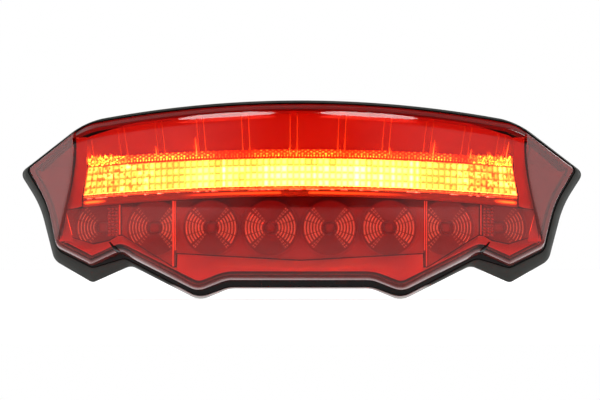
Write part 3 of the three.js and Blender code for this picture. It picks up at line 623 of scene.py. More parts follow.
# The pale grey along the bottom of the rim is a painted highlight, for the floor's light on its lower lip.
HOUSING = worn_finish(
    "housing", (0.026, 0.0285, 0.025), (0.019, 0.021, 0.0185), (0.42, 0.56), strength=0.5,
    painted_band=((0.45, 0.45, 0.44), -0.0375, -0.0395), Specular_IOR_Level=0.3,
)
REFLECTOR = worn_finish(
    "reflector", (0.8, 0.79, 0.78), (0.72, 0.71, 0.7), (0.3, 0.42), grain=2500.0, Metallic=0.25
)
CHEEK = worn_finish(
    "reflector_cheek", (0.68, 0.66, 0.65), (0.58, 0.56, 0.55), (0.3, 0.42), grain=2500.0, Metallic=0.25
)
WING_PANEL = worn_finish(
    "wing_panel", (0.1, 0.095, 0.09), (0.06, 0.057, 0.055), (0.4, 0.55), grain=1200.0, Metallic=0.1
)
# The fan rings are bright partly from their mirror finish and partly from a painted glow of their own.
MIRROR = worn_finish(
    "mirror_optic", (0.9, 0.92, 0.92), (0.83, 0.85, 0.85), (0.2, 0.3), grain=2500.0, Metallic=0.15,
    **painted_glow((0.2, 1.0, 0.8), 0.6),
)
# The darker strip along the tops of the trays is painted shade, under the overhanging ledge.
TRAY = worn_finish(
    "tray", (0.5, 0.36, 0.26), (0.42, 0.3, 0.22), (0.4, 0.52), grain=900.0,
    painted_band=((0.2, 0.14, 0.12), -0.0034, -0.0029),
)
CUP = worn_finish("optic_cup", (0.27, 0.18, 0.17), (0.21, 0.14, 0.13), (0.3, 0.4), grain=900.0)
BAR_OPTIC = glowing_finish("bar_optic", (0.8, 0.72, 0.5), 0.12)
LEDGE_FINISH = glowing_finish("ledge", (0.24, 0.18, 0.15), 0.2)
# The LED cases' faint glow is painted light; on the brake LEDs, which are off, it lifts them out of the shade
# of their wells.
LED_BODY = worn_finish(
    "led", (0.42, 0.15, 0.1), (0.34, 0.12, 0.08), (0.35, 0.5), **painted_glow((1.0, 0.3, 0.2), 0.12)
)
# The pillow patch's faint glow is painted light.
PATCH = worn_finish(
    "pillow_patch", (0.6, 0.5, 0.45), (0.45, 0.37, 0.33), (0.2, 0.3), **painted_glow((1.0, 0.5, 0.3), 0.05)
)
# The divider leaves' strong glow is painted light that draws them as bright lines.
PAINTED_GLOW_WALL = worn_finish(
    "divider_painted_glow", (0.8, 0.78, 0.76), (0.7, 0.68, 0.66), (0.25, 0.35), **painted_glow((1.0, 0.6, 0.3), 0.5)
)
BOARD = board_finish()
STEEL = worn_finish("steel", (0.55, 0.56, 0.58), (0.42, 0.43, 0.45), (0.24, 0.42), grain=800.0, Metallic=1.0)
BRASS = worn_finish(
    "brass_pin", (0.75, 0.55, 0.24), (0.62, 0.44, 0.18), (0.2, 0.36), grain=900.0, Metallic=1.0
)
COMPONENT = worn_finish("component", (0.02, 0.02, 0.021), (0.012, 0.012, 0.013), (0.35, 0.5))

# ---- Casing: lens, seal and housing ----

# The brow climbs steeply from its edge to a knee, then rounds gently into the face. The knee's two numbers
# are its share of the brow's width and of its depth. Below the brow the bevel is one round shoulder.
KNEE = (0.35, 0.85)
KNEE_BLEND = 0.1
BROW_POWER = 1.6
SHOULDER_POWER = 2.3
BROW_START = (14, 28)  # the heights between which the shoulder turns into the brow
BEVEL_RINGS = 29
BEVEL_THINNING = 0.72  # of the wall, along the top of the bevel
FACE_ROWS = np.linspace(0, 1, 49)


def bevel_height(share, z):
    """How far up the bevel's depth the lens has come, a share of its width in from its edge."""
    steep = share * KNEE[1] / KNEE[0]
    gentle = 1 - (1 - KNEE[1]) * (np.minimum(1, (1 - share) / (1 - KNEE[0]))) ** BROW_POWER
    brow = np.where(share < 1, smooth_min(steep, gentle, KNEE_BLEND), 1.0)
    shoulder = (1 - (1 - share) ** SHOULDER_POWER) ** (1 / SHOULDER_POWER)
    return lerp(shoulder, brow, smooth_step(*BROW_START, z))


def lens_skin(wall):
    """The rings of a skin of the lens from its edge up its bevel, and the grid of its face."""
    def sunk(x, z):
        return np.minimum(face_y(x, z) + wall, joint_y(x))

    edge = whole_paths(LENS, wall)
    brow = whole_paths(LENS, BEVEL_THINNING * wall, bevelled=True)
    rings = []
    for share in np.linspace(0, 1, BEVEL_RINGS) ** 1.5:
        path = lerp(loop_of(*edge), loop_of(*brow), share)
        x, z = path.T
        rings.append(at_depth(path, lerp(joint_y(x), sunk(x, z), bevel_height(share, z))))
    return np.array(rings), ruled(*brow, FACE_ROWS, sunk)


def make_lens():
    body = Body()
    skins = [lens_skin(wall) for wall in (0, LENS_WALL)]
    for rings, face in skins:
        body.grid(rings, wrap=True)
        body.grid(face)
    body.grid(np.array([rings[0] for rings, _ in skins]), wrap=True, second=True)
    body.make("tinted_lens", RED_LENS, "red_lens", "outer_lens", sharp=40, second=WELD_EDGE)


SEAL_SPEC = mixed_spec(LENS, RIM, SEAL_SHARE)
SEAL_THICKNESS = 1.0
SEAT_Y = SEAL_THICKNESS + 2 * GAP
SEAT_INSET = 3.2
VALLEY_TOP = (84.6, -18.6)
# The tongues are painted shade: dark beads that draw the valley creases.
TONGUE_RADII = (1.1, 0.4)  # at a tongue's foot and at its top


def make_seal():
    """A gasket whose outer edge is a rounded bead that shows round the lens, with dark tongues laid over the
    lens up two valleys as painted shade in their creases.
    """
    inner = whole_loop(LENS, LENS_WALL + GAP)
    body = Body()
    rings = []
    for angle in np.linspace(-math.pi / 2, math.pi / 2, 9):
        path = whole_loop(SEAL_SPEC, SEAL_THICKNESS / 2 * (1 - math.cos(angle)))
        behind = GAP + SEAL_THICKNESS / 2 * (1 + math.sin(angle))
        rings.append(at_depth(path, joint_y(path[:, 0]) + behind))
    for behind in (GAP + SEAL_THICKNESS, GAP):
        rings.append(at_depth(inner, joint_y(inner[:, 0]) + behind))
    rings.append(rings[0])
    body.grid(np.array(rings), wrap=True)
    for valley in notch_valleys():
        body.bead(valley, np.linspace(*TONGUE_RADII, len(valley)), 10, depth=0.8)
    body.make("edge_seal", SEAL, "seal", "lens_seal")


def notch_valleys():
    """The valley lines that run up the lens from its two notches, leaning out over the feet."""
    t = np.linspace(0, 1, 14)
    path = lerp(np.array(LENS["corners"]["notch"][:2]), np.array(VALLEY_TOP), t[:, None])
    x, z = path.T
    y = lerp(joint_y(x), face_y(x, z), bevel_height(np.minimum(1, 1.5 * t), CREASE_FOOT[1])) - 0.5
    return [at_depth(path * [side, 1], y) for side in (-1, 1)]


RIM_DROP = 3.0
LIP_RISE = 0.2
LIP_POWER = 2.4
LIP_STEP = 0.15
HOUSING_DRAFT = 2.2
HOUSING_DEPTH = 12.0  # how far inside its rim the housing's side wall ends
FLOOR_INSET = HOUSING_DEPTH - 3 + GAP
TURN_ROUNDING = 4.0


def housing_back(x, inside):
    """The outer side wall some way inside the rim, until the flat back cuts it off."""
    return smooth_min(joint_y(x) + RIM_DROP + HOUSING_DRAFT * inside, BACK_Y, TURN_ROUNDING)


def housing_floor(x, inside):
    """The inner side wall and floor, below the seal's seat."""
    wall = joint_y(x) + HOUSING_DRAFT * (inside + RIM_DROP - HOUSING_WALL)
    floor = smooth_min(wall, BACK_Y - HOUSING_WALL, TURN_ROUNDING)
    return np.maximum(floor, joint_y(x) + SEAT_Y + GAP)


def housing_rings():
    """The rings of the housing from its back, round its rim and lip, over the seat and down inside."""
    rings = []
    for inside in np.linspace(HOUSING_DEPTH, 0, 14):
        path = whole_loop(RIM, inside)
        rings.append(at_depth(path, housing_back(path[:, 0], inside)))
    rim, lip = whole_loop(RIM), whole_loop(SEAL_SPEC, -GAP)
    for share in np.linspace(0, 1, 9)[1:]:
        path = lerp(rim, lip, share)
        drop = lerp(RIM_DROP, LIP_RISE, 1 - (1 - share) ** LIP_POWER)
        rings.append(at_depth(path, joint_y(path[:, 0]) + drop))
    for inset, drop in ((LIP_STEP, LIP_RISE + LIP_STEP), (0.2, SEAT_Y)):
        rings.append(at_depth(whole_loop(SEAL_SPEC, inset - GAP), joint_y(lip[:, 0]) + drop))
    seat = whole_loop(LENS, SEAT_INSET)
    rings.append(at_depth(seat, joint_y(seat[:, 0]) + SEAT_Y))
    for inside in np.linspace(SEAT_INSET + GAP, FLOOR_INSET, 8):
        path = whole_loop(LENS, inside)
        rings.append(at_depth(path, housing_floor(path[:, 0], inside)))
    return rings


def make_housing():
    body = Body()
    body.grid(np.array(housing_rings()), wrap=True)
    rows = np.linspace(0, 1, 13)
    body.grid(ruled(*whole_paths(RIM, HOUSING_DEPTH), rows, lambda x, z: housing_back(x, HOUSING_DEPTH)))
    body.grid(ruled(*whole_paths(LENS, FLOOR_INSET), rows, lambda x, z: housing_floor(x, FLOOR_INSET)))
    body.make("housing_tub", HOUSING, "housing", "rear_housing", sharp=32)


# ---- Rear of the housing: ribs, bosses, studs, socket and vent ----

RIB_WIDTH = 1.6
RIB_HEIGHT = 2.0
ROOT = BACK_Y - 0.6  # rear features start a little inside the wall that they grow from
LONG_RIBS = ((0.0, 98.0), (25.0, 74.0))  # the height of each, and how far it reaches
UPRIGHT_RIBS = (26.0, 62.0, 88.0)
UPRIGHT_RANGE = (-14.0, 25.0)
PAD_SIZE = (22.0, 12.0)


def make_rear_ribs():
    body = Body()
    top, half = BACK_Y + RIB_HEIGHT, RIB_WIDTH / 2
    for z, reach in LONG_RIBS:
        body.block(0, z, reach, half, ROOT, top)
    for x in (side * x for x in UPRIGHT_RIBS for side in (-1, 1)):
        body.box((x - half, ROOT, UPRIGHT_RANGE[0]), (x + half, top, UPRIGHT_RANGE[1]))
    body.make("rear_ribs", HOUSING, "housing", bevel=0.45)


def make_mount_pad():
    body = Body()
    body.block(0, 0, PAD_SIZE[0] / 2, PAD_SIZE[1] / 2, ROOT, 0)
    body.make("mount_pad", HOUSING, "housing", bevel=0.9)


BOSS_RADIUS = 6.5
BOSS_FILLET = 2.0
BOSS_ROUNDING = 0.7
BOSS_BORE = 3.0
WEB_REACH = 3.2
WEB_TOP = -1.2


def make_boss(index, x, z, stud_radius):
    """A boss with a fillet at its foot, a rounded top, a counterbore round the stud and four webs."""
    foot = BOSS_RADIUS + BOSS_FILLET
    fillet = [(foot - BOSS_FILLET * s, BACK_Y + BOSS_FILLET * (1 - c)) for s, c in quarter_turn(6)]
    top = [(BOSS_RADIUS - BOSS_ROUNDING * (1 - c), -BOSS_ROUNDING * (1 - s)) for s, c in quarter_turn(5)]
    bore = stud_radius + GAP
    hole = [(bore + 0.5, 0), (bore, -0.5), (bore, -BOSS_BORE), (0, -BOSS_BORE)]
    body = Body()
    body.turned([(0, ROOT), (foot, ROOT), *fillet, *top, *hole], x, z)
    near, far = BOSS_RADIUS - 0.5, BOSS_RADIUS + WEB_REACH
    for angle in np.radians([45, 135, 225, 315]):
        along = np.array([math.cos(angle), 0, math.sin(angle)])
        across = np.array([-math.sin(angle), 0, math.cos(angle)]) * RIB_WIDTH / 2
        web = [np.array([x, y, z]) + reach * along
               for reach, y in ((near, ROOT), (far, ROOT), (far, BACK_Y + 0.6), (near, WEB_TOP))]
        body.rod([np.array(web) - across, np.array(web) + across])
    body.make(f"stud_boss_{index}", HOUSING, "housing", sharp=30)


THREAD_PITCH = 1.0
THREAD_DEPTH = 0.55
STUD_CHAMFER = 0.8


def make_stud(index):
    """A threaded stud, whose thread's crest is the stud's radius. Returns its place and its radius."""
    node = f"mount_stud_{index}"
    low, high = box_mm(node)
    x, _, z = (low + high) / 2
    radius, end = (high[0] - low[0]) / 2, high[1]

    def thread(angle, depth):
        turn = depth / THREAD_PITCH - angle / (2 * math.pi)
        groove = THREAD_DEPTH * np.clip(1.6 * np.abs(2 * (turn % 1) - 1) - 0.3, 0, 1)
        return -groove * smooth_step(0.4, 1.4, depth) * smooth_step(end - 0.1, end - 0.9, depth)

    shank = [(radius, y) for y in np.arange(-2.5, end - STUD_CHAMFER, 0.1)]
    chamfer = [(radius - cut, end - back) for cut, back in ((0, 0.8), (0.35, 0.35), (0.8, 0), (1.2, 0))]
    body = Body()
    profile = [(0, low[1]), (radius, low[1]), *shank, *chamfer, (0, end)]
    body.turned(profile, x, z, sides=40, ripple=thread)
    body.make(f"threaded_stud_{index}", STEEL, "steel", node, sharp=50)
    return x, z, radius


VENT_FLUTES = 18


def make_vent():
    """The breather's cap, with grip flutes round it and a raised ring on top."""
    low, high = box_mm("vent_cap")
    x, _, z = (low + high) / 2
    radius, top = (high[0] - low[0]) / 2, high[1]

    def flutes(angle, depth):
        return -0.35 * (0.5 + 0.5 * np.cos(VENT_FLUTES * angle)) * smooth_step(top - 0.5, top - 1.1, depth)

    edge = [(radius, low[1]), (radius, top - 0.9), (radius - 0.3, top - 0.3), (radius - 0.9, top)]
    ring = [(3.6, top), (3.4, top - 0.5), (2.2, top - 0.5), (2.0, top), (0, top)]
    body = Body()
    body.turned([(0, low[1]), *edge, *ring], x, z, sides=6 * VENT_FLUTES, ripple=flutes)
    body.make("breather_cap", HOUSING, "housing", "vent_cap", sharp=30)


SOCKET_WALL = 2.5
KEY_OFFSET = 7.5


def make_socket():
    """Details on the CAD socket: key ribs inside its mouth and a latch ramp on top."""
    low, high = box_mm("socket_shell")
    x, _, z = (low + high) / 2
    mouth = high[1]
    opening = (high[2] - low[2]) / 2 - SOCKET_WALL
    body = Body()
    for side in (-1, 1):
        body.block(x + side * KEY_OFFSET, z - opening + 1.95, 0.6, 0.75, mouth - 7.5, mouth - 0.6)
    body.block(x, z + opening + 0.4, 3, 0.7, mouth - 4.2, mouth - 2.6)
    body.make("socket_keys", HOUSING, "housing", bevel=0.25)


# ---- Lit bar and its ledge ----

BAR_LOW, BAR_HIGH = box_mm("light_bar_lens")
BAR_RADIUS = 1085.0
BAR_HALF = BAR_HIGH[0]
BAR_HEIGHT = 12.7
BAR_Z = BAR_HIGH[2] - BAR_HEIGHT / 2
BAR_FRONT = BAR_LOW[1]
BAR_SLANT = 2.2
PILLOW_ROWS = 4
PILLOW_COLUMNS = 72
PILLOW_DEPTH = 0.9
SAMPLES = 9  # along each side of a pillow
ROW_WARMTH = (0.7, 1.0, 0.9, 0.1)  # from the lowest row up: the share of the middle's extra heat
GLOW_SCALE = 60.0  # the level that gives a full glow
GLOW_COLOUR = np.array([1.0, 0.95, 0.08])
HOT_GLOW = np.array([1.0, 0.95, 0.3])
WARM_GLOW = np.array([1.0, 0.62, 0.1])


def bar_z(x):
    return BAR_Z - np.square(x) / (2 * BAR_RADIUS)


def glow_of(level, colour=WARM_GLOW):
    """The colours of an array of levels."""
    return np.asarray(level)[..., None] * colour / GLOW_SCALE


def drift(count, reach):
    """Seeded noise along a line, smoothed over reach samples, about 0 and with a spread of 1."""
    raw = np.convolve(rng.normal(size=count + 4 * reach), np.hanning(2 * reach + 1), "same")
    raw = raw[2 * reach:-2 * reach]
    return raw / raw.std()


def pillow_glow(x, row, u, v):
    """Brightness over the pillows: streaked columns over even rows, with dark specks near the bar's ends."""
    columns = drift(PILLOW_COLUMNS, 2)
    streaks = np.clip(rng.normal(size=PILLOW_COLUMNS), 0, 3)
    single = rng.normal(size=(PILLOW_ROWS, PILLOW_COLUMNS))
    specks = rng.random(size=(3 * PILLOW_ROWS, 3 * PILLOW_COLUMNS))
    place = np.clip((x / BAR_HALF + 1) / 2 * PILLOW_COLUMNS, 0, PILLOW_COLUMNS - 0.01)
    column = place.astype(int)
    speck = specks[np.minimum(3 * row + (3 * v).astype(int), 3 * PILLOW_ROWS - 1), (3 * place).astype(int)]
    end = smooth_step(45, 86, np.abs(x))
    middle = 1 - smooth_step(25, 75, np.abs(x + 8))
    hot = lerp(21, 40, middle * np.array(ROW_WARMTH)[row])
    level = hot * np.exp(0.2 * columns[column] + lerp(0.1, 0.3, end) * single[row, column])
    level = level * (1 + 0.6 * streaks[column] * np.exp(-np.square((u - 0.5) / 0.2)) * (1 - end))
    dark = smooth_step(lerp(0.9, 0.65, end), lerp(1.0, 0.85, end), speck)
    level = level * (1 - lerp(0.1, 0.72, end) * dark)
    across = np.abs(np.sin(math.pi * u)) ** 0.5
    along = np.abs(np.sin(math.pi * v)) ** 0.5
    return level * lerp(lerp(0.86, 0.6, end), 1.0, across) * lerp(lerp(0.5, 0.4, end), 1.05, along)


def make_bar():
    """The bar's pillow lens, with a bright line along its foot."""
    columns = PILLOW_COLUMNS * SAMPLES
    rows = PILLOW_ROWS * SAMPLES
    s, t = np.meshgrid(np.linspace(-1, 1, columns + 1), np.linspace(0, 1, rows + 1))
    x = s * (BAR_HALF - BAR_SLANT * t * smooth_step(0.86, 1, np.abs(s)))
    z = bar_z(x) + (t - 0.5) * BAR_HEIGHT
    u = (s + 1) / 2 * PILLOW_COLUMNS % 1
    v = t * PILLOW_ROWS % 1
    row = np.minimum((t * PILLOW_ROWS).astype(int), PILLOW_ROWS - 1)
    dome = (np.abs(np.sin(math.pi * u)) * np.abs(np.sin(math.pi * v))) ** 0.4
    y = BAR_FRONT + sweep(x) + PILLOW_DEPTH * (1 - dome)
    level = np.where(t < 0.03, 30, pillow_glow(x, row, u, v))
    glow = glow_of(level, lerp(GLOW_COLOUR, HOT_GLOW, np.clip(level / 45, 0, 1)[..., None]))
    back = BAR_HIGH[1] - sweep(BAR_HALF) + sweep(x) - 0.4
    body = Body()
    body.sheet(xyz(x, y, z), xyz(x, back, z), glow)
    body.make("bar_pillow_lens", BAR_OPTIC, "bar_optic", "light_bar_lens", sharp=60)


# The fringe's rows of beads of painted glow: how far up each is, its reach, its strength, its beads per
# pillow and its start.
FRINGE_BEADS = (
    (0.24, 0.1, 20.0, 2, 0.0),
    (0.5, 0.09, 15.0, 1, 1.0),
    (0.7, 0.08, 9.0, 1, 0.0),
    (0.9, 0.07, 6.0, 1, 1.0),
)
# Painted glints where the bar's light runs up an edge of a rib: each x, and how far up it runs.
SPIKES = (
    (-95.0, 9.0), (-63.7, 5.0), (-45.8, 8.0), (-4.4, 3.0), (-1.0, 3.0),
    (18.2, 3.0), (40.0, 3.5), (59.3, 7.5), (75.8, 4.5), (91.5, 9.0),
)


def make_fringe():
    """The fluted flange above the bar, with the bar's light painted on it as glow: in beads, and in a ragged
    comb at its ends.
    """
    count = PILLOW_COLUMNS * 12
    s = np.linspace(-1, 1, count + 1)
    x = s * (BAR_HALF - BAR_SLANT)
    end = smooth_step(74, 84, np.abs(x))
    base = bar_z(x) + BAR_HEIGHT / 2 + 0.2
    comb = np.abs(drift(count + 1, 2)) + 0.35
    height = lerp(3.6, 3.2 + 0.9 * np.minimum(comb, 2), end)
    flutes = 0.22 * np.cos(s * PILLOW_COLUMNS * 2 * math.pi)
    patch = np.clip(0.9 + 0.45 * drift(count + 1, 50), 0.2, 2)
    front, glow = [], []
    for t in np.linspace(0, 1, 17):
        y = BAR_FRONT + 1.2 + sweep(x) + flutes * math.sin(math.pi * t) + 0.8 * t
        front.append(xyz(x, y, base + height * t))
        thin = 0.12
        for middle, reach, strength, per_pillow, turn in FRINGE_BEADS:
            beads = (0.5 + 0.5 * np.cos((s * PILLOW_COLUMNS * per_pillow + turn) * math.pi)) ** 3
            speck = np.exp(0.5 * drift(count + 1, 4))
            thin = thin + strength * (0.06 + beads) * speck * patch * math.exp(-((t - middle) / reach) ** 2)
        thick = np.exp(1.1 * drift(count + 1, 3)) * (1 - 0.55 * t) * 9
        level = lerp(thin, thick, end)
        glow.append(glow_of(level, lerp(WARM_GLOW, GLOW_COLOUR, np.clip(level / 14, 0, 1)[:, None])))
    body = Body()
    body.sheet(np.array(front), np.array(front) + [0, 1.2, 0], glow)
    # Painted glints at the bar's ends, along the cheeks and up the ribs' edges.
    for side in (-1, 1):
        bar_end = side * (BAR_HALF + 1.3)
        add_glint(body, (bar_end, BAR_Z + 2), (bar_end, LEDGE_MIDDLE - 2.5), 0.25, 0.2, 4)
        add_glint(body, CHEEK_FOOT * [side, 1], CHEEK_CORNER * [side, 1], 0.2, 0.2, 2)
    for x, rise in SPIKES:
        foot = bar_z(x) + BAR_HEIGHT / 2 + 2
        add_glint(body, (x, foot), (x * (1 + rise / RIB_FAN), foot + rise), 0.2, 0.07, 18)
    body.make("bar_fringe", BAR_OPTIC, "bar_optic", sharp=60)


def add_glint(body, foot, top, wide, narrow, level):
    """A painted glint: a thin glowing bead between two places in the front view, in front of the reflector.
    """
    t = np.linspace(0, 1, 6)
    x, z = lerp(np.array(foot), np.array(top), t[:, None]).T
    spots = xyz(x, BAR_FRONT + 0.9 + sweep(x) + 2.2 * t, z)
    body.bead(spots, lerp(wide, narrow, t), 6, glow=glow_of(level * np.linspace(1, 0.35, 6)))


LEDGE_LOW, LEDGE_HIGH = box_mm("light_bar_ledge")
LEDGE_DROP = 1890.0
LEDGE_MIDDLE = 1.6
PALE_GLOW = np.array([1.0, 0.85, 0.6])
PALEST_GLOW = np.array([1.0, 0.9, 0.8])


def ledge_bottom(x):
    return LEDGE_MIDDLE - np.square(x) / LEDGE_DROP


def make_ledge():
    """The stepped ledge under the bar: a bead with painted glints in dashes, over a cove with a painted pool
    of the bar's light.
    """
    x = np.linspace(-BAR_HALF, BAR_HALF, 560)
    top = bar_z(x) - BAR_HEIGHT / 2 - GAP
    bottom = ledge_bottom(x)
    # dashes paints the glints on the bead, and lit paints the bar's light on the cove.
    dashes = smooth_step(0.1, 0.5, drift(len(x), 6)) * np.exp(0.5 * drift(len(x), 2))
    lit = smooth_step(5.6, 7.2, np.abs(x + 2)) * (1 - smooth_step(22, 52, np.abs(x + 2))) ** 0.7
    lit = np.maximum(lit, 3.0 * smooth_step(86, 92, np.abs(x)) * (1 - smooth_step(95, 97, np.abs(x))))
    # Each row is its share of the way down, its depth behind the front, and its glow, which is painted glints
    # and painted light from the bar.
    section = (
        (0.0, 2.6, 0.1, WARM_GLOW),
        (0.10, 1.0, 0.1, WARM_GLOW),
        (0.18, 0.5, 0.2 + 2 * dashes, PALE_GLOW),
        (0.23, 0.15, 0.5 + 14 * dashes, PALEST_GLOW),
        (0.28, 0.4, 0.2 + 2 * dashes, PALE_GLOW),
        (0.34, 0.9, 0.13 + 0.1 * dashes, WARM_GLOW),
        (0.42, 0.9, 0.13 + 0.1 * lit, WARM_GLOW),
        (0.50, 0.7, 0.13 + 1.6 * lit, WARM_GLOW),
        (0.58, 0.5, 0.13 + 3.2 * lit, WARM_GLOW),
        (0.66, 0.3, 0.13 + 1.6 * lit, WARM_GLOW),
        (0.74, 0.1, 0.10 + 0.1 * lit, WARM_GLOW),
        (1.0, 0.3, 0.0, WARM_GLOW),
    )
    rows, glow = [], []
    for down, behind, level, colour in section:
        rows.append(xyz(x, LEDGE_LOW[1] + behind + sweep(x), lerp(top, bottom, down)))
        glow.append(glow_of(level + 0 * x, colour))
    back_y = LEDGE_HIGH[1] - sweep(BAR_HALF) + sweep(x) - 0.5
    for z in (bottom, top):
        rows.append(xyz(x, back_y, z))
        glow.append(glow_of(0 * x))
    body = Body()
    body.rod(np.swapaxes(rows, 0, 1), np.swapaxes(glow, 0, 1))
    body.make("bar_ledge", LEDGE_FINISH, "bar_optic", "light_bar_ledge", sharp=50)


# ---- Upper reflector, its cheeks and its ribs ----

REFLECTOR_HALF = box_mm("upper_reflector")[1][0]
REFLECTOR_LEAN = (-44.6, -40.6)  # its y at its foot and at its top, in the middle
RIB_PITCH = 22.1
RIB_CLOSING = 0.7  # how much less than the pitch each next rib is away from the last, halved
RIB_CENTRE = -2.6
RIBS_PER_SIDE = 5
RIB_HALF = 1.4
RIB_FAN = 480.0  # the ribs lean out as if from a point this far below RIB_LEVEL
RIB_LEVEL = 29.0
LENS_TOP = half_paths(LENS)[1]
LENS_TOP = LENS_TOP[np.argsort(LENS_TOP[:, 0])]
CHEEK_BEHIND = 8.0  # behind the lens's face
CHEEK_SLOT = 0.7  # between the cheek and the crease
CHEEK_FOOT = np.array([102.2, -15.6])
CHEEK_CORNER = np.array([104.8, -6.0])
SHEET = np.array([0, 1.2, 0])  # the thickness of the thin mouldings


def make_cheeks():
    """The reflector's walls beside the bar's ends, from the brow down to the feet."""
    body = Body()
    z = np.linspace(-18.5, 28, 60)[:, None]
    beside_bar = BAR_HALF + 0.5 - BAR_SLANT * smooth_step(1, 14, z)
    beside_cup = lerp(CHEEK_FOOT[0], CHEEK_CORNER[0], (z - CHEEK_FOOT[1]) / (CHEEK_CORNER[1] - CHEEK_FOOT[1]))
    inner = lerp(beside_cup, beside_bar, smooth_step(-4.5, -3, z))
    outer = np.maximum(crease_x(z) - CHEEK_SLOT, inner + 0.3)
    x = lerp(inner, outer, np.linspace(0, 1, 9)[None, :])
    for side in (-1, 1):
        front = xyz(side * x, face_y(x, z) + CHEEK_BEHIND, z)
        body.sheet(front, front + SHEET)
    body.make("reflector_cheeks", CHEEK, "reflector")


def rib_centres():
    steps = np.arange(-RIBS_PER_SIDE, RIBS_PER_SIDE + 1)
    return RIB_CENTRE + RIB_PITCH * steps - RIB_CLOSING * steps * np.abs(steps)


def reflector_front(x, rise):
    """The reflector wall at stations x, a share of the way up: x with its fan, y and z."""
    low = bar_z(x) + BAR_HEIGHT / 2 + 2.6
    high = np.interp(np.abs(x), *LENS_TOP.T) - 3.2 - 2.2 * smooth_step(72, 96, np.abs(x))
    z = lerp(low, high, rise)
    fanned = np.clip(x * (1 + (z - RIB_LEVEL) / RIB_FAN), -REFLECTOR_HALF, REFLECTOR_HALF)
    curl = 0.5 * np.clip((rise - 0.8) / 0.2, 0, 1) ** 2
    return fanned, lerp(*REFLECTOR_LEAN, rise) + curl + sweep(x), z


def make_rib_beads():
    """Painted highlights on the edges of the ribs: glowing beads that stand in for the bar's light from
    below.
    """
    body = Body()
    rises = np.linspace(0.04, 0.9, 24)
    for centre in rib_centres():
        lit = 1 - 0.5 * smooth_step(15, 75, abs(centre))
        for edge in (-RIB_HALF, RIB_HALF):
            spots = [reflector_front(centre + edge, rise) - np.array([0, 0.5, 0]) for rise in rises]
            body.bead(spots, 0.3 - 0.08 * rises, 6, glow=glow_of((2.0 * np.exp(-4 * rises) + 2.1) * lit))
    body.make("rib_edge_painted_highlights", LEDGE_FINISH, "bar_optic", sharp=60)


def make_upper_reflector():
    """A wall that leans back above the bar, with raised, beaded ribs and a lip curled back on top; the ribs'
    bright edges are painted highlights from make_rib_beads.
    """
    centres = rib_centres()
    rib_edge = np.concatenate([np.linspace(1.15, 1.65, 7), np.linspace(1.75, 2.4, 3)])
    offsets = np.concatenate([-rib_edge, np.linspace(-0.9, 0.9, 5), rib_edge])
    beside = [centre + offsets for centre in centres]
    between = [middle + np.linspace(-5, 5, 5) for middle in (centres[1:] + centres[:-1]) / 2]
    stations = np.concatenate([*beside, *between, [-REFLECTOR_HALF, REFLECTOR_HALF]])
    stations = np.unique(np.clip(np.round(stations, 3), -REFLECTOR_HALF, REFLECTOR_HALF))
    from_rib = np.abs(stations[:, None] - centres[None, :]).min(axis=1)
    raised = 1 - smooth_step(RIB_HALF - 0.1, RIB_HALF + 0.35, from_rib)
    bead = np.exp(-((from_rib - RIB_HALF) / 0.2) ** 2)
    front, back = [], []
    for rise in np.concatenate([np.linspace(0, 0.8, 12), np.linspace(0.83, 1, 10)]):
        x, y, z = reflector_front(stations, rise)
        fade = 1 - smooth_step(0.93, 1.0, rise)
        front.append(xyz(x, y - (0.5 * raised + 0.45 * bead) * fade, z))
        back.append(xyz(x, y + 1.0, z))
    body = Body()
    body.sheet(np.array(front), np.array(back))
    body.make("ribbed_reflector", REFLECTOR, "reflector", "upper_reflector", sharp=55)


# ---- Cells: trays, ring optics, LEDs and dividers ----

LAMPS = [sum(box_mm(f"brake_led_{i + 1}")) / 2 for i in range(8)]
LAMP_Z = LAMPS[0][2]
FOOT_EDGE = ((81.7, -15.6), (85.5, -17.8), (93.0, -19.4), (102.3, -16.6), (105.0, -8.0))
CENTER_EDGE = ((-55.1, -23.6), (0.0, -26.6), (55.1, -23.6))
SIDE_EDGE = ((57.1, -29.6), (79.7, -15.4))


def flipped(edge):
    return tuple((-x, z) for x, z in reversed(edge))


# Each cell's lower edge and the lamps in it.
CELLS = {
    "foot_left": (flipped(FOOT_EDGE), (0,)),
    "left": (flipped(SIDE_EDGE), (1,)),
    "center": (CENTER_EDGE, (2, 3, 4, 5)),
    "right": (SIDE_EDGE, (6,)),
    "foot_right": (FOOT_EDGE, (7,)),
}
CUP_RADIUS = 12.3
CUP_HOLE = 2.9
WELL_DEPTH = 3.6  # of the wells that the LEDs stand in
SEAM_Z = -3.4


def cell_planes(edge):
    """The planes round a cell, each a point and its outward normal."""
    left, right = edge[0][0], edge[-1][0]
    planes = [((left, 0, 0), (-1, 0, 0)), ((right, 0, 0), (1, 0, 0))]
    for (x0, z0), (x1, z1) in zip(edge, edge[1:]):
        planes.append(((x0, 0, z0), (z1 - z0, 0, x0 - x1)))
    middle = (left + right) / 2
    planes.append(((middle, 0, ledge_bottom(middle) - GAP), (2 * middle / LEDGE_DROP, 0, 1)))
    return planes


def tray_front(name):
    return box_mm(f"lamp_tray_{name}")[0][1]


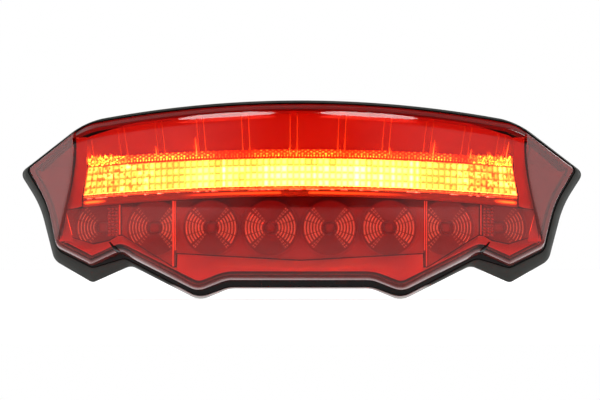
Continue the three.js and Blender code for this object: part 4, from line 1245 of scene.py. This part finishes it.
def make_tray(name):
    """The floor of a cell: a seam near its top, a stepped collar round each cup and a well for each LED."""
    edge, lamps = CELLS[name]
    left, right = edge[0][0], edge[-1][0]
    x = np.linspace(left, right, max(8, int((right - left) / 0.5)))
    z = lerp(np.interp(x, *np.transpose(edge)), ledge_bottom(x) - GAP, np.linspace(0, 1, 56)[:, None])
    relief = 0.5 * smooth_step(SEAM_Z, SEAM_Z + 0.5, z)
    well = 0
    for lamp in lamps:
        radius = np.hypot(x - LAMPS[lamp][0], z - LAMP_Z)
        relief = relief + 0.5 * smooth_step(CUP_RADIUS + 1.1, CUP_RADIUS + 0.7, radius)
        well = np.maximum(well, WELL_DEPTH * smooth_step(CUP_HOLE + 0.5, CUP_HOLE, radius))
    front = tray_front(name) + well
    body = Body()
    body.sheet(xyz(x, front - relief, z), xyz(x, front + 1.5, z))
    body.make(f"cell_floor_{name}", TRAY, "tray", f"lamp_tray_{name}", sharp=45)


RING_COUNT = 6
RING_FIRST = 4.1
RING_PITCH = 1.38
RING_WIDTH = 0.85
RING_HEIGHT = 0.75
THIN_FAN = 0.65  # how wide the rings of a fan that faces a wing are, against the others
# The sectors of a fan's upper half, and the one in the middle: the angles where each starts and ends. No
# rings are built between them, so the dark cup shows there as painted shade, where the rings would reflect
# dark.
UPPER_SECTORS = ((19.0, 38.5), (45.0, 47.5), (50.0, 52.5))
FAN_SECTORS = ((-16.3, 16.3), *UPPER_SECTORS, *((-end, -start) for start, end in UPPER_SECTORS))


def bowl_y(radius):
    return -(0.8 + 2.4 * np.square(radius / 12))


def add_ridge(body, x, y, z, radius, start, end, width):
    """One ridge of a fan: a half round bar bent along an arc on the bowl."""
    steps = max(2, int(abs(end - start) / 3.5))
    around = np.radians(np.linspace(0, 180, 7))
    across = radius + width / 2 * np.cos(around)
    depth = y + bowl_y(radius) + 0.15 - RING_HEIGHT * np.sin(around)
    angles = np.radians(np.linspace(start, end, steps + 1))
    body.rod([xyz(x + across * math.cos(a), depth, z + across * math.sin(a)) for a in angles])


def make_optic(index, name):
    """A dark cup with two fans of broken rings, bright from their mirror finish and a painted glow, with gaps
    of painted shade. A foot's has a pillow patch for its inner fan.
    """
    x, _, z = LAMPS[index]
    seat = tray_front(name) - GAP
    planes = cell_planes(CELLS[name][0])
    foot = name.startswith("foot")
    cup = Body()
    inside = [(r, bowl_y(r)) for r in np.linspace(CUP_HOLE, CUP_RADIUS - 0.3, 16)]
    rim = [(CUP_RADIUS, bowl_y(CUP_RADIUS) + 0.1), (CUP_RADIUS, 0.0), (CUP_HOLE, 0.0), inside[0]]
    cup.turned(inside + rim, x, z, seat, sides=64)
    cup.make(f"cup_{index + 1}", CUP, "tray", sharp=40, planes=planes)

    fans = Body()
    outward = 1 if x > 0 else -1
    for side in (outward,) if foot else (-1, 1):
        turn = 0 if side > 0 else 180
        thin = foot or (name != "center" and side == outward)
        for start, end in FAN_SECTORS:
            for radius in RING_FIRST + RING_PITCH * np.arange(RING_COUNT):
                width = RING_WIDTH * (THIN_FAN if thin else 1)
                add_ridge(fans, x, seat, z, radius, turn + start, turn + end, width)
    if foot:
        make_pillow_patch(index, x, seat, z, -outward)
    node = f"ring_optic_{index + 1}"
    fans.make(f"fan_rings_{index + 1}", MIRROR, "mirror_optic", node, sharp=50, planes=planes)


PATCH_PILLOWS = (3, 9)
PATCH_SIZE = (4.8, 13.0)
PATCH_START = 2.1  # from the LED's middle
PATCH_RISE = 2.6
PATCH_SAMPLES = 7  # along each side of a pillow


def make_pillow_patch(index, x, y, z, side):
    """A block of small pillows between a foot's LED and the divider."""
    columns, rows = PATCH_PILLOWS
    u, v = np.meshgrid(*(np.linspace(0, count, count * PATCH_SAMPLES + 1) for count in PATCH_PILLOWS))
    dome = np.abs(np.sin(math.pi * u)) * np.abs(np.sin(math.pi * v))
    x = x + side * (PATCH_START + PATCH_SIZE[0] * u / columns)
    z = z + PATCH_RISE + PATCH_SIZE[1] * (v / rows - 0.5)
    body = Body()
    body.sheet(xyz(x, y - 1.2 - 2.4 * dome ** 0.7, z), xyz(x, y - 0.2, z))
    body.make(f"pillow_patch_{index + 1}", PATCH, "mirror_optic", sharp=80)


def make_led(index):
    """An LED package: a square case with a step, and three leads above and below."""
    node = f"brake_led_{index + 1}"
    low, high = box_mm(node)
    x, _, z = (low + high) / 2
    front, back = low[1], high[1]
    half = (high[0] - low[0]) / 2
    body = Body()
    body.block(x, z, half, half, front + 0.5, back)
    body.block(x, z, half - 0.35, half - 0.35, front, front + 0.6)
    for lead in (-1.1, 0, 1.1):
        for side in (-1, 1):
            body.block(x + lead, z + side * (half + 0.1), 0.3, 0.35, back - 0.6, back - 0.1)
    body.make(f"led_package_{index + 1}", LED_BODY, "led", node, bevel=0.12)


BAR_LED_DOME = 1.1


def make_bar_led(index):
    """A small LED package with a low dome and two leads."""
    node = f"bar_led_{index + 1}"
    low, high = box_mm(node)
    x, _, z = (low + high) / 2
    front, back = low[1] + 0.3, high[1]
    half = (high[0] - low[0]) / 2
    body = Body()
    body.box((low[0], front, low[2]), high)
    dome = [(BAR_LED_DOME * s, -0.6 * BAR_LED_DOME * c) for s, c in quarter_turn(6)]
    body.turned([*dome, (BAR_LED_DOME, 0.3), (0, 0.3)], x, z, front, sides=24)
    body.block(x, z, half + 0.3, half / 2, back - 0.5, back - 0.1)
    body.make(f"bar_led_package_{index + 1}", LED_BODY, "led", node, bevel=0.1)


DIVIDER_LEAF = 0.32
SHORT_LEAF_FOOT = -22.4


def make_divider(side, which):
    """A thin folded wall on a dark web. An inner one has two leaves made bright by a painted glow, an outer
    one a single leaf.
    """
    node = f"divider_{side}_{which}"
    low, high = box_mm(node)
    leaves = {(low[0] + high[0] - DIVIDER_LEAF) / 2: low[2]}
    if which == "inner":
        long_x, short_x = (low[0], high[0] - DIVIDER_LEAF)[::-1 if side == "right" else 1]
        leaves = {long_x: low[2], short_x: SHORT_LEAF_FOOT}
    body = Body()
    for x, foot in leaves.items():
        body.box((x, low[1], foot), (x + DIVIDER_LEAF, high[1], high[2]))
    body.box((low[0] + 0.05, high[1] - 0.8, low[2]), high - 0.05, second=True)
    body.make(f"cell_wall_{side}_{which}", PAINTED_GLOW_WALL, "mirror_optic", node, second=CUP)


# ---- Lower bezel and wing panels ----

# The bezel's upper edge, from the middle out: below the middle cell, the side cell and the foot's cell.
BEZEL_EDGE = np.array([
    (0, -27.1), (54.8, -24.1), (55, -30.1), (57, -30.1), (79.7, -15.9),
    (81.9, -16.1), (85.5, -18.3), (93, -19.9), (103.5, -16.6), (106.5, -19.4),
])
BEZEL_END = BEZEL_EDGE[-1, 0]
BEZEL_TOP_Y = -38.0
BEZEL_FORWARD = (7.0, 2.0)  # how far it comes forward to its lower edge, in the middle and at the feet
FEET_START = 56.1
BEZEL_INSET = 4.4


def make_bezel():
    """The bright sloping strip from the cells' lower edges down to the lens's bottom bevel."""
    floor = half_paths(LENS, BEZEL_INSET)[0]
    floor = floor[floor[:, 0] < BEZEL_END - 2]
    x = np.unique(np.concatenate([np.linspace(0, BEZEL_END, 240), BEZEL_EDGE[:, 0], floor[:, 0]]))
    x = np.concatenate([-x[:0:-1], x])
    top = np.interp(np.abs(x), *BEZEL_EDGE.T)
    bottom = np.minimum(np.interp(np.abs(x), *floor.T), top - 0.4)
    forward = lerp(*BEZEL_FORWARD, np.minimum(1, np.abs(x) / FEET_START))
    t = np.linspace(0, 1, 13)[:, None]
    front = xyz(x, BEZEL_TOP_Y + sweep(x) - forward * np.sin(t * math.pi / 2) ** 1.2, lerp(top, bottom, t))
    body = Body()
    body.sheet(front, front + [0, 1.4, 0])
    body.make("sloping_bezel", REFLECTOR, "reflector", "lower_bezel", sharp=40)


WING_PANEL_INSET = 3.2
WING_PANEL_TOP_INSET = 5.0
WING_PANEL_BEHIND = LENS_WALL * math.hypot(1, WING_SLOPE) + 1.5  # behind the lens's face
WING_PANEL_SLOT = 2  # columns left out beside the crease
CREASE_AT = 1 + sum(EDGE_STEPS[name] + CORNER_STEPS for name in list(EDGE_STEPS)[:5])


def make_wing_panel(side, name):
    """The panel behind a wing, which rolls back along its upper edge."""
    def depth(x, z):
        return np.minimum(face_y(x, z) + WING_PANEL_BEHIND, joint_y(x) - 0.8)

    start = CREASE_AT + WING_PANEL_SLOT
    lower = half_paths(LENS, WING_PANEL_INSET)[0][start:]
    upper = half_paths(LENS, WING_PANEL_TOP_INSET)[1][start:]
    rows = np.linspace(0, 1, 50)
    front = ruled(lower, upper, rows, depth) * [side, 1, 1]
    front[..., 1] += 2.0 * smooth_step(0.8, 1.0, rows)[:, None]
    body = Body()
    body.sheet(front, front + SHEET)
    body.make(f"side_panel_{name}", WING_PANEL, "reflector", f"wing_panel_{name}", sharp=45)


# ---- CAD nodes that keep their shape ----


def finish_node(name, material, rounding):
    """Gives a CAD node its finish, and rounds its edges."""
    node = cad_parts[name]
    node.data.materials.clear()
    node.data.materials.append(material)
    round_edges(node, rounding, 2, 50)


def finish_nodes():
    for cell in CELLS:
        finish_node(f"led_board_{cell}", BOARD, 0.15)
    finish_node("light_bar_board", BOARD, 0.15)
    for i in range(4):
        finish_node(f"board_screw_{i + 1}", STEEL, 0.12)
    finish_node("socket_shell", HOUSING, 0.35)
    finish_node("pin_header", BRASS, 0.12)
    finish_node("driver_chip", COMPONENT, 0.12)
    finish_node("smoothing_capacitor", COMPONENT, 0.4)


# ---- Stage, lights and camera ----

FLOOR_LIGHT = 0.62  # what the floor sheds
MIRRORED_FLOOR = 0.58  # its light in reflections, close to the object
DIM_FLOOR = 0.1  # the same, where it lies straight ahead of the lens
BRIGHT_FLOOR = 0.85  # and where it lies ahead and to the sides
SEEN_FLOOR = 0.8  # its light to the camera


def light_table_finish():
    """A pale floor, lit evenly from below, with its own level for the camera, reflections and other light."""
    made = Finish("light_table")
    place = made.axes(made.place)
    path = made.add("LightPath").outputs
    near = made.ranged(place["Y"], DIM_FLOOR, MIRRORED_FLOOR, -0.3, -0.15)
    aside = made.ranged(made.math("ABSOLUTE", place["X"]), DIM_FLOOR, BRIGHT_FLOOR, 0.13, 0.27)
    mirrored = made.math("SUBTRACT", made.math("MAXIMUM", near, aside), FLOOR_LIGHT)
    seen = made.math("MULTIPLY_ADD", path["Is Camera Ray"], SEEN_FLOOR - FLOOR_LIGHT, FLOOR_LIGHT)
    made.set(
        Base_Color=made.blended(made.noise(3.0), (0.5, 0.5, 0.5), (0.54, 0.54, 0.54)),
        Roughness=0.6,
        Emission_Color=(1.0, 1.0, 1.0),
        Emission_Strength=made.math("MULTIPLY_ADD", mirrored, path["Is Glossy Ray"], seen),
    )
    return made.material


def make_floor():
    body = bmesh.new()
    bmesh.ops.create_grid(body, x_segments=8, y_segments=8, size=0.9)
    mesh = bpy.data.meshes.new("floor")
    body.to_mesh(mesh)
    body.free()
    floor = bpy.data.objects.new("floor", mesh)
    floor.location.z = CAD_BOX[0].z - 0.0005
    bpy.context.scene.collection.objects.link(floor)
    mesh.materials.append(light_table_finish())


def add_light(name, place, size, radiance, shows=True, shape="RECTANGLE", aim=(0, 0, 0)):
    """A soft box turned to aim; radiance is how bright its surface is, where white paper is about 1."""
    data = bpy.data.lights.new(name, "AREA")
    data.shape = shape
    data.size, data.size_y = size
    data.energy = radiance * math.pi * size[0] * size[1]
    light = bpy.data.objects.new(name, data)
    bpy.context.scene.collection.objects.link(light)
    light.location = place
    light.rotation_euler = (Vector(aim) - Vector(place)).to_track_quat("-Z", "Y").to_euler()
    light.visible_camera = False
    light.visible_glossy = shows


def make_lights():
    for name, x in (("top_left", -0.227), ("top_right", 0.166)):
        add_light(name, (x, -0.12, 1.0), (0.27, 0.38), 8.6, shape="ELLIPSE", aim=(x, 0, 0))
    add_light("side_left", (-1.3, 0.15, 0.0), (0.9, 0.5), 1.8)
    add_light("side_right", (1.3, 0.15, 0.0), (0.9, 0.5), 1.8)
    add_light("overhead", (0.0, -0.1, 1.6), (3.0, 3.0), 0.8, shows=False)
    add_light("front", (0.0, -1.7, 0.5), (1.8, 1.0), 2.0, shows=False)
    add_light("rear", (0.9, 1.5, 0.7), (1.0, 0.7), 2.0)


def make_world():
    """White to the camera. To everything else a room: dark above, and dim straight ahead of the lens."""
    world = bpy.data.worlds.new("studio")
    bpy.context.scene.world = world
    world.use_nodes = True
    world.node_tree.nodes.clear()
    made = Nodes(world.node_tree)
    direction = made.axes(made.add("TexCoord").outputs["Generated"])
    aside = made.math("ABSOLUTE", direction["X"])
    across = made.ramp(aside, ((0.0, 0.04), (0.12, 0.09), (0.36, 0.85), (1.0, 1.0)))
    upward = made.ramp(direction["Z"], ((0.0, 1.0), (0.22, 0.95), (0.42, 0.16), (1.0, 0.1)))
    walls = made.blended(1.0, across, upward, blend_type="MULTIPLY")
    room = made.add("Background", {"Color": walls}).outputs["Background"]
    white = made.add("Background", {"Color": (1, 1, 1)}).outputs["Background"]
    seen = made.add("LightPath").outputs["Is Camera Ray"]
    choice = made.add("MixShader", {"Fac": seen, 1: room, 2: white})
    made.add("OutputWorld", {"Surface": choice.outputs["Shader"]})


VIEW_AZIMUTH = math.radians(1.5)
VIEW_ELEVATION = math.radians(0.3)
FOCAL_LENGTH = 500.0
FRAME_WIDTH = 0.2683  # what the picture spans at the object
AIM = Vector((-0.0002, -0.028, 0.0))


def make_camera():
    data = bpy.data.cameras.new("camera")
    data.lens = FOCAL_LENGTH
    data.clip_end = 50
    distance = FRAME_WIDTH * FOCAL_LENGTH / data.sensor_width
    level = math.cos(VIEW_ELEVATION)
    back = Vector((math.sin(VIEW_AZIMUTH) * level, -math.cos(VIEW_AZIMUTH) * level, math.sin(VIEW_ELEVATION)))
    camera = bpy.data.objects.new("camera", data)
    bpy.context.scene.collection.objects.link(camera)
    camera.location = AIM + back * distance
    camera.rotation_euler = (-back).to_track_quat("-Z", "Y").to_euler()
    bpy.context.scene.camera = camera


# ---- The object ----

make_camera()
make_lens()
make_seal()
make_housing()
make_rear_ribs()
make_mount_pad()
for number in range(1, 5):
    make_boss(number, *make_stud(number))
make_vent()
make_socket()
make_bar()
make_fringe()
make_ledge()
make_upper_reflector()
make_cheeks()
make_rib_beads()
for cell_name, (_, cell_lamps) in CELLS.items():
    make_tray(cell_name)
    for lamp_index in cell_lamps:
        make_optic(lamp_index, cell_name)
        make_led(lamp_index)
for number in range(6):
    make_bar_led(number)
for side_name, side_sign in (("left", -1), ("right", 1)):
    make_divider(side_name, "inner")
    make_divider(side_name, "outer")
    make_wing_panel(side_sign, side_name)
make_bezel()
finish_nodes()
make_floor()
make_lights()
make_world()
bpy.context.scene.view_settings.view_transform = "Standard"
